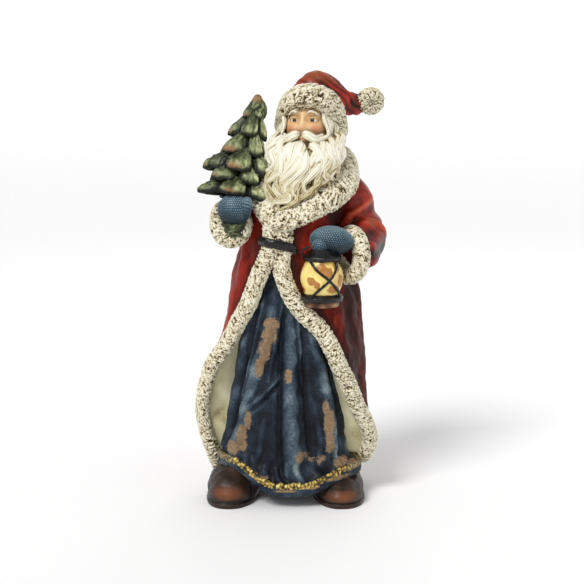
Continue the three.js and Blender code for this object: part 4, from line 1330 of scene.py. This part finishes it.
def make_side_hair():
    """The hair beside and behind the face."""
    piece = Piece()
    for k in range(22):
        piece.add(*hanging_lock(k))
    for k in range(10):
        piece.add(*sideburn_lock(k))
    piece.finish("side_hair", "beard_white", HAIR_PAINT)


# Tree
TREE_FOOT, TREE_TIP = np.array([-55.0, -50.0, 264.0]), np.array([-31.0, -14.0, 398.0])
# Each tier: how far up the trunk, the boughs' reach and height, their number and the first one's direction.
TIERS = [
    (0.325, 39, 26, 5, 180), (0.42, 36, 28, 5, 215), (0.5, 39, 32, 5, 178),
    (0.62, 29, 30, 5, 210), (0.755, 22, 28, 4, 190), (0.875, 13, 20, 4, 150),
]
# A bough's section from the trunk along its underside, round its lip and back up to the trunk: how far along
# the section, how far out, and how high as a share of the tier's height. The underside ends at BOUGH_EDGE.
BOUGH = [
    (0, 0, 0.1), (0.17, 0.62, -0.04), (0.3, 0.91, -0.24), (0.37, 0.985, -0.2), (0.42, 1, -0.1),
    (0.5, 0.95, 0.03), (0.64, 0.78, 0.19), (0.82, 0.44, 0.46), (1, 0, 0.95),
]
BOUGH_EDGE = 0.42
NEEDLE_CELL, NEEDLE = (5.0, 3.0), (13.0, 3.2)


def tree_tier(number, at, reach, tall, boughs, first):
    """One tier of drooping boughs, with its relief and wear: a lobed disc with a thick ragged lip, raked with
    needles down each bough. Its upper surfaces carry a painted highlight, stronger on the right, its
    undersides and the gaps between the boughs have painted shade, and the tips on the left and in front are
    rubbed, some more than others."""
    lean = unit(TREE_TIP - TREE_FOOT)
    side = unit(np.cross(lean, DOWN_FRONT))
    front = np.cross(side, lean)
    v, turn = crossed(np.linspace(0.03, 0.985, 50), turns(28 * boughs))
    angle = turn + math.radians(first)
    bough = (0.5 + 0.5 * np.cos(boughs * turn)) ** 0.55
    s, rise = read(BOUGH, v)
    ragged = 0.07 * np.sin(boughs * 5 * turn + number) + 0.04 * np.sin(boughs * 8 * turn)
    ragged = 1 + smooth(0.55, 1, s) * ragged
    radius = reach * s * mix(1, 0.6 + 0.4 * bough, s) * ragged * (0.82 - 0.18 * np.cos(angle))
    above = smooth(BOUGH_EDGE, BOUGH_EDGE + 0.1, v)
    face = smooth(0.08, 0.5, bough)
    plump = 5.5 * (face - 0.6) * np.sin(math.pi * held(s)) * above
    grid = mix(TREE_FOOT, TREE_TIP, at) + side * (radius * np.cos(angle))[..., None]
    grid = grid + front * (0.72 * radius * np.sin(angle))[..., None]
    grid = grid + lean * (tall * rise - 3 * bough * s * s + plump)[..., None]
    along = np.where(v < BOUGH_EDGE, (BOUGH_EDGE - v) * 60, (v - BOUGH_EDGE) * 1.15 * reach + 30)
    round_tier = turn / TURN * boughs * 18
    needle, tone = tufts(along, round_tier, NEEDLE_CELL, NEEDLE, 0.1, 50 + number, (6 * boughs, None))
    grid = lift(grid, 1.7 * (needle - 0.5) * mix(0.4, 1, above))
    lip = hump(v - 0.46, 0.1) * bough
    # lit: a painted highlight on the upper surfaces, stronger on the right
    lit = smooth(-0.5, 0.8, np.cos(angle)) * above * smooth(0.15, 0.6, s)
    relief = 0.24 + 0.26 * needle + 0.22 * lip + 0.34 * lit * face + 0.2 * (tone - 0.5)
    # painted shade on the undersides and in the gaps between the boughs
    relief = relief * mix(0.2, 1, smooth(0.36, 0.45, v)) * mix(0.3, 1, face)
    luck = chance(np.mod(np.floor(turn * boughs / TURN + 0.5), boughs), number, 3)
    tip = hump(v - 0.44, 0.06) * bough**2
    wear = tip * smooth(0.35, -0.45, np.cos(angle)) * mix(0.4, 1.0, luck)
    return grid, held(relief), wear


def make_tree():
    """The fir tree: its tiers, a pointed top, the trunk and the knob of twigs under the mitten."""
    piece = Piece()
    for number, tier in enumerate(TIERS):
        piece.add(*tree_tier(number, *tier))
    half = (9, 8, 12.5)
    top = ellipsoid((0, 0, 0), half, 44, 50)
    top[..., :2] = top[..., :2] * (1 - 0.32 * top[..., 2:] / half[2])
    top = top + [-32.5, -16, 386]
    needle, tone = tufts(*arcs(top), (4.5, 3.0), (10.0, 3.0), 0.1, 63)
    relief = held(0.16 + 0.55 * needle + 0.15 * (tone - 0.5))
    piece.add(lift(top, 1.6 * (needle - 0.5)), relief, 0.8 * hump(top[..., 2] - 396, 5))
    c = path([TREE_FOOT, TREE_TIP], 60)
    thick = mix(10, 3, np.linspace(0, 1, len(c)))
    trunk = sweep(c, DOWN_FRONT, thick, thick, 50)
    dents = ripple(trunk, 3.0, 2.0)
    piece.add(lift(trunk, dents), held(0.3 + 0.25 * dents))
    knob = ellipsoid((-56, -51, 271), (8.5, 9.5, 10), 44, 50)
    needle, _ = tufts(*arcs(knob), (4.5, 3.0), (10.0, 3.2), 0.9, 61)
    piece.add(lift(knob, 1.6 * (needle - 0.5)), held(0.12 + 0.55 * needle))
    piece.finish("fir_tree", "tree_green", TREE_PAINT)


# Lantern: the middle of its underside. Its turned parts are rows of a radius and a height above that.
LANTERN = np.array([29.5, -56.0, 198.5])
LANTERN_BASE = [(1, 0), (16.5, 0), (16.8, 1), (16.6, 5), (10, 5.4)]
LANTERN_RING = [
    (12, 5.2), (19.4, 5.4), (20.4, 6.2), (20.8, 8), (20.4, 9.8), (19, 10.6), (17.6, 12), (12, 12.6),
]
LANTERN_CAP = [
    (10, 43.5), (16.4, 44), (18.2, 45), (18.2, 47.6), (17, 49), (12.5, 53), (10.5, 55.5), (7, 57.4), (1, 58),
]
GLOBE = [
    (8, 8), (16, 12), (17.8, 16), (19.4, 20), (20.3, 25), (20.3, 30), (19, 36), (16.8, 41), (14.2, 45),
    (8, 46),
]
# Worn patches of the globe: the angle from the front, the height and the half sizes.
GLOBE_WORN = [
    (-4, 39, 18, 5), (14, 34, 22, 6), (50, 40, 14, 6), (-30, 26, 16, 5), (-14, 22, 10, 4), (36, 18, 24, 5),
    (62, 26, 16, 7), (130, 30, 24, 6), (-110, 36, 22, 5), (180, 18, 30, 4), (-74, 16, 16, 3),
]
# The two crossed straps: the angle from the front in radians, the radius and the height.
STRAPS = [
    [(-0.85, 16.5, 46), (-0.28, 19, 37), (0.34, 20.8, 27), (0.85, 19.8, 17), (1.1, 19.8, 9)],
    [(1.05, 16.5, 46), (0.76, 19, 37), (0.34, 20.8, 27), (-0.12, 19.8, 18.5), (-0.66, 19.8, 9)],
]
BAIL = [(12.5, -58, 246), (10.5, -60, 250), (12.5, -62, 254), (17, -63, 257)]


def lathe(profile, around):
    """A profile of radius and height turned about the lantern's post."""
    turn = turns(around)
    r, z = (np.array(profile, float)[:, k, None] for k in range(2))
    return join(r * np.cos(turn), r * np.sin(turn), z) + LANTERN


def stepped(rows, count):
    """A profile read finely along its own length, its corners kept."""
    p = np.array(rows, float)
    run = np.concatenate([[0], np.cumsum(np.linalg.norm(np.diff(p, axis=0), axis=1))])
    at = np.linspace(0, run[-1], count)
    return np.stack([np.interp(at, run, p[:, k]) for k in range(2)], -1)


def make_lantern():
    """Storm lantern: base, bellied glass, and iron ring and cap, all turned about one post, with two crossed
    straps and a bail."""
    base = lathe(stepped(LANTERN_BASE, 30), 64)
    relief = held(0.5 + 0.4 * ripple(base, 4.0))
    Piece().add(base, relief).finish("lantern_base", "lantern_base", WOOD_PAINT)

    globe = lathe(hermite(np.arange(len(GLOBE)), GLOBE, np.linspace(0, len(GLOBE) - 1, 64)), 90)
    dents = 0.35 * ripple(globe, 6.0, 2.0)
    x, y, z = apart(globe - LANTERN)
    turn = np.degrees(np.arctan2(x, -y))
    wear = np.zeros(turn.shape)
    for at, high, wide, tall in GLOBE_WORN:
        away = np.mod(turn - at + 180, 360) - 180
        wear = np.maximum(wear, hump(away, wide) * hump(z - high, tall))
    piece = Piece().add(lift(globe, dents), held(0.6 + 0.3 * dents), wear)
    piece.finish("lantern_glass", "lantern_glass", GLOBE_PAINT)

    iron = Piece()
    for rows in (LANTERN_RING, LANTERN_CAP):
        shape = lathe(stepped(rows, 36), 72)
        iron.add(lift(shape, 0.45 * ripple(shape, 3.0)), 0.5)
    for strap in STRAPS:
        c = path([LANTERN + [r * math.sin(a), -r * math.cos(a), z] for a, r, z in strap], 56)
        bar = sweep(c, c - LANTERN - [0, 0, 26], 1.35, 1.1, 12)
        iron.add(lift(bar, 0.25 * ripple(bar, 2.0)), 0.4)
    iron.add(sweep(path(BAIL, 40), DOWN_FRONT, 1.2, 1.2, 14), 0.6)
    iron.finish("lantern_iron", "lantern_iron", IRON_PAINT)


# Belt and boots
BELT = [(-30, -50, 261), (-23, -59, 260), (-12, -61.5, 258), (-3, -60, 256), (2, -56, 254.5)]
BELT_END = [(-2, -61.5, 258), (3, -60, 254), (4, -57, 249)]
# A boot's outline from sole to shaft: a height and the share of its full size there, and the full size: half
# its width, and how far its toe and heel reach.
BOOT = [
    (0, 0.92), (0, 0.97), (1.4, 0.995), (3.8, 0.995), (4.8, 0.965), (5.6, 0.935), (7.5, 0.95), (14, 0.96),
    (22, 0.87), (28, 0.7), (33, 0.47), (37, 0.2), (37.5, 0.04),
]
BOOT_HALF, BOOT_TOE, BOOT_HEEL = 26, 57, 50
SOLE, WELT = 5, 5.6  # the sole's thickness and the height of the groove over it
BOOT_Y = -15


def make_belt():
    """The belt's short front, a flat strap with a lapped end."""
    c = path(BELT, 80)
    grid = sweep(c, out_of_body(c), 4.5, 2.6, 28)
    piece = Piece().add(lift(grid, 0.3 * ripple(grid, 3.5)), 0.5)
    piece.add(sweep(path(BELT_END, 40), DOWN_FRONT, 2.6, 1.6, 24), 0.5)
    piece.finish("belt", "belt_black", IRON_PAINT)


def make_boot(name, x, splay, toe):
    """A boot: flat welted sole, wide round toe with a cap line, and an upper that is creased over the instep.
    Its heights in front are taken times the toe's own share, and the toe's paint is rubbed."""
    away = 60  # how many millimetres the full size counts for when the outline is read along its length
    rows = stepped([(share * away, z) for z, share in BOOT], 84)
    s, z = rows[:, :1] / away, rows[:, 1:]
    c, d = np.cos(turns(116)), np.sin(turns(116))
    reach = np.where(d < 0, s**0.5 * BOOT_TOE, s * BOOT_HEEL)
    side = s * BOOT_HALF * np.sign(c) * np.abs(c) ** 0.85
    ahead = reach * np.sign(d) * np.abs(d) ** 0.8
    low = mix(1, toe, smooth(0.3, -0.5, d) * smooth(0.04, 0.3, s))
    grid = join(side, ahead, np.where(z > SOLE, z * low, z))
    upper = smooth(6, 10, z)
    crease = np.sin(ahead / 3.2 + 0.8 * np.sin(side / 6)) * hump(ahead + 22, 12) * smooth(14, 26, z)
    cap_line = -1.1 * hump(ahead + 30 + 0.012 * side**2, 1.3) * upper
    amount = upper * (0.9 * crease + 0.5 * ripple(grid + [x, 0, 0], 6.0)) + cap_line
    relief = held(0.5 + 0.2 * amount - 0.35 * hump(z - WELT, 1.2))
    wear = 0.95 * hump(ahead + 53, 13) * hump(z - 15, 9) * hump(side, 19) * upper
    grid = lift(grid, amount) @ turn_z(splay) + [x, BOOT_Y, 0]
    Piece().add(grid, relief, wear).finish(name, "boot_brown", BOOT_PAINT)


make_gown()
make_gold_trim()
make_coat()
make_lining()
make_edge_fur()
make_collar()
make_hat_band()
make_hat_crown()
make_pompom()
make_sleeve("sleeve_right", SLEEVE_RIGHT, 1, 1.0, SLEEVE_WORN)
make_sleeve("sleeve_left", SLEEVE_LEFT, -1, 0.73, [])
make_cuff("cuff_right", (58, -31, 244.5), (-0.85, -0.5, 0.1), 19, 20, 18, 17, 71)
make_cuff("cuff_left", (-58, -38, 276.5), (0.15, -0.8, 0.6), 13.5, 18.5, 15, 20, 81)
make_mitten("mitten_right", MITTEN_RIGHT)
make_mitten("mitten_left", MITTEN_LEFT)
make_head()
make_eyes()
make_beard()
make_moustache()
make_side_hair()
make_tree()
make_lantern()
make_belt()
make_boot("boot_left", -57, -6, 1)
make_boot("boot_right", 47, 4, 0.76)


# Stage: a pale floor, soft studio light and the camera. Sizes here are in metres.
FLOOR_REACH, FLOOR_FLAT = 14, 7
CHEST = (0, 0, 0.22)
# The camera stands 9 degrees above the middle of the figure, as in the photograph: a picture of 584 points a
# side and a lens as long as 1450 of them.
CAMERA_AWAY, CAMERA_RISE, CAMERA_AIM_Z = 1.45, math.radians(9), 0.203
PICTURE, FOCAL, SENSOR = 584, 1450, 36


def make_floor():
    """A wide pale floor: a disc of rings that rises with the square of the distance past its flat part."""
    r, turn = crossed(np.linspace(0, FLOOR_REACH, 57)[1:], turns(72))
    rise = 0.12 * np.maximum(r - FLOOR_FLAT, 0) ** 2
    grid = join(r * np.cos(turn), r * np.sin(turn), rise).reshape(-1, 3)
    index = np.arange(len(grid)).reshape(r.shape)
    beside = np.roll(index, -1, 1)
    quads = np.stack([index[1:], beside[1:], beside[:-1], index[:-1]], -1)
    middle = [(len(grid), a, b) for a, b in zip(index[0], beside[0])]
    mesh = bpy.data.meshes.new("floor")
    mesh.from_pydata([*grid.tolist(), (0, 0, 0)], [], [*quads.reshape(-1, 4).tolist(), *middle])
    mesh.polygons.foreach_set("use_smooth", np.ones(len(mesh.polygons), bool))
    floor = bpy.data.objects.new("floor", mesh)
    bpy.context.scene.collection.objects.link(floor)
    n = Nodes("floor_paint")
    pale = n.ramp(n.noise(400.0), [(0.0, (0.95, 0.95, 0.95)), (1.0, (0.97, 0.97, 0.97))])
    n.link(pale, n.shader.inputs["Base Color"])
    n.shader.inputs["Roughness"].default_value = 0.8
    mesh.materials.append(n.material)


def place(name, kind, at, target):
    """Puts a lamp or camera in the scene, turned to its target."""
    thing = bpy.data.objects.new(name, kind)
    bpy.context.scene.collection.objects.link(thing)
    thing.location = at
    thing.rotation_euler = (Vector(target) - Vector(at)).to_track_quat("-Z", "Y").to_euler()
    return thing


def make_lamp(name, at, size, watts):
    """A square soft lamp aimed at the figure's chest."""
    light = bpy.data.lights.new(name, "AREA")
    light.size = size
    light.energy = watts
    place(name, light, at, CHEST)


def make_sun():
    """The main light: a wide soft sun from above, left and in front, which also whitens the floor."""
    light = bpy.data.lights.new("sun", "SUN")
    light.energy = 2.0
    light.angle = math.radians(22)
    place("sun", light, (-0.7, -1.1, 1.5), CHEST)


def make_camera():
    """The camera, at the photograph's angle and distance."""
    lens = bpy.data.cameras.new("camera")
    lens.sensor_width = SENSOR
    lens.lens = SENSOR * FOCAL / PICTURE
    lens.shift_x = 1 / PICTURE
    x = -MIDDLE[0] * MM
    back, up = CAMERA_AWAY * math.cos(CAMERA_RISE), CAMERA_AWAY * math.sin(CAMERA_RISE)
    bpy.context.scene.camera = place("camera", lens, (x, -back, CAMERA_AIM_Z + up), (x, 0, CAMERA_AIM_Z))


def make_stage():
    """Floor, white surroundings, the sun, two soft lamps and the camera."""
    make_floor()
    world = bpy.data.worlds.new("studio")
    bpy.context.scene.world = world
    world.use_nodes = True
    back = world.node_tree.nodes["Background"]
    back.inputs["Color"].default_value = (1, 1, 1, 1)
    back.inputs["Strength"].default_value = 0.5
    make_sun()
    make_lamp("fill", (1.3, -1.0, 0.6), 0.9, 1.2)
    make_lamp("back", (0.2, 1.1, 1.4), 1.0, 3)
    make_camera()
    bpy.context.scene.view_settings.view_transform = "Standard"


make_stage()
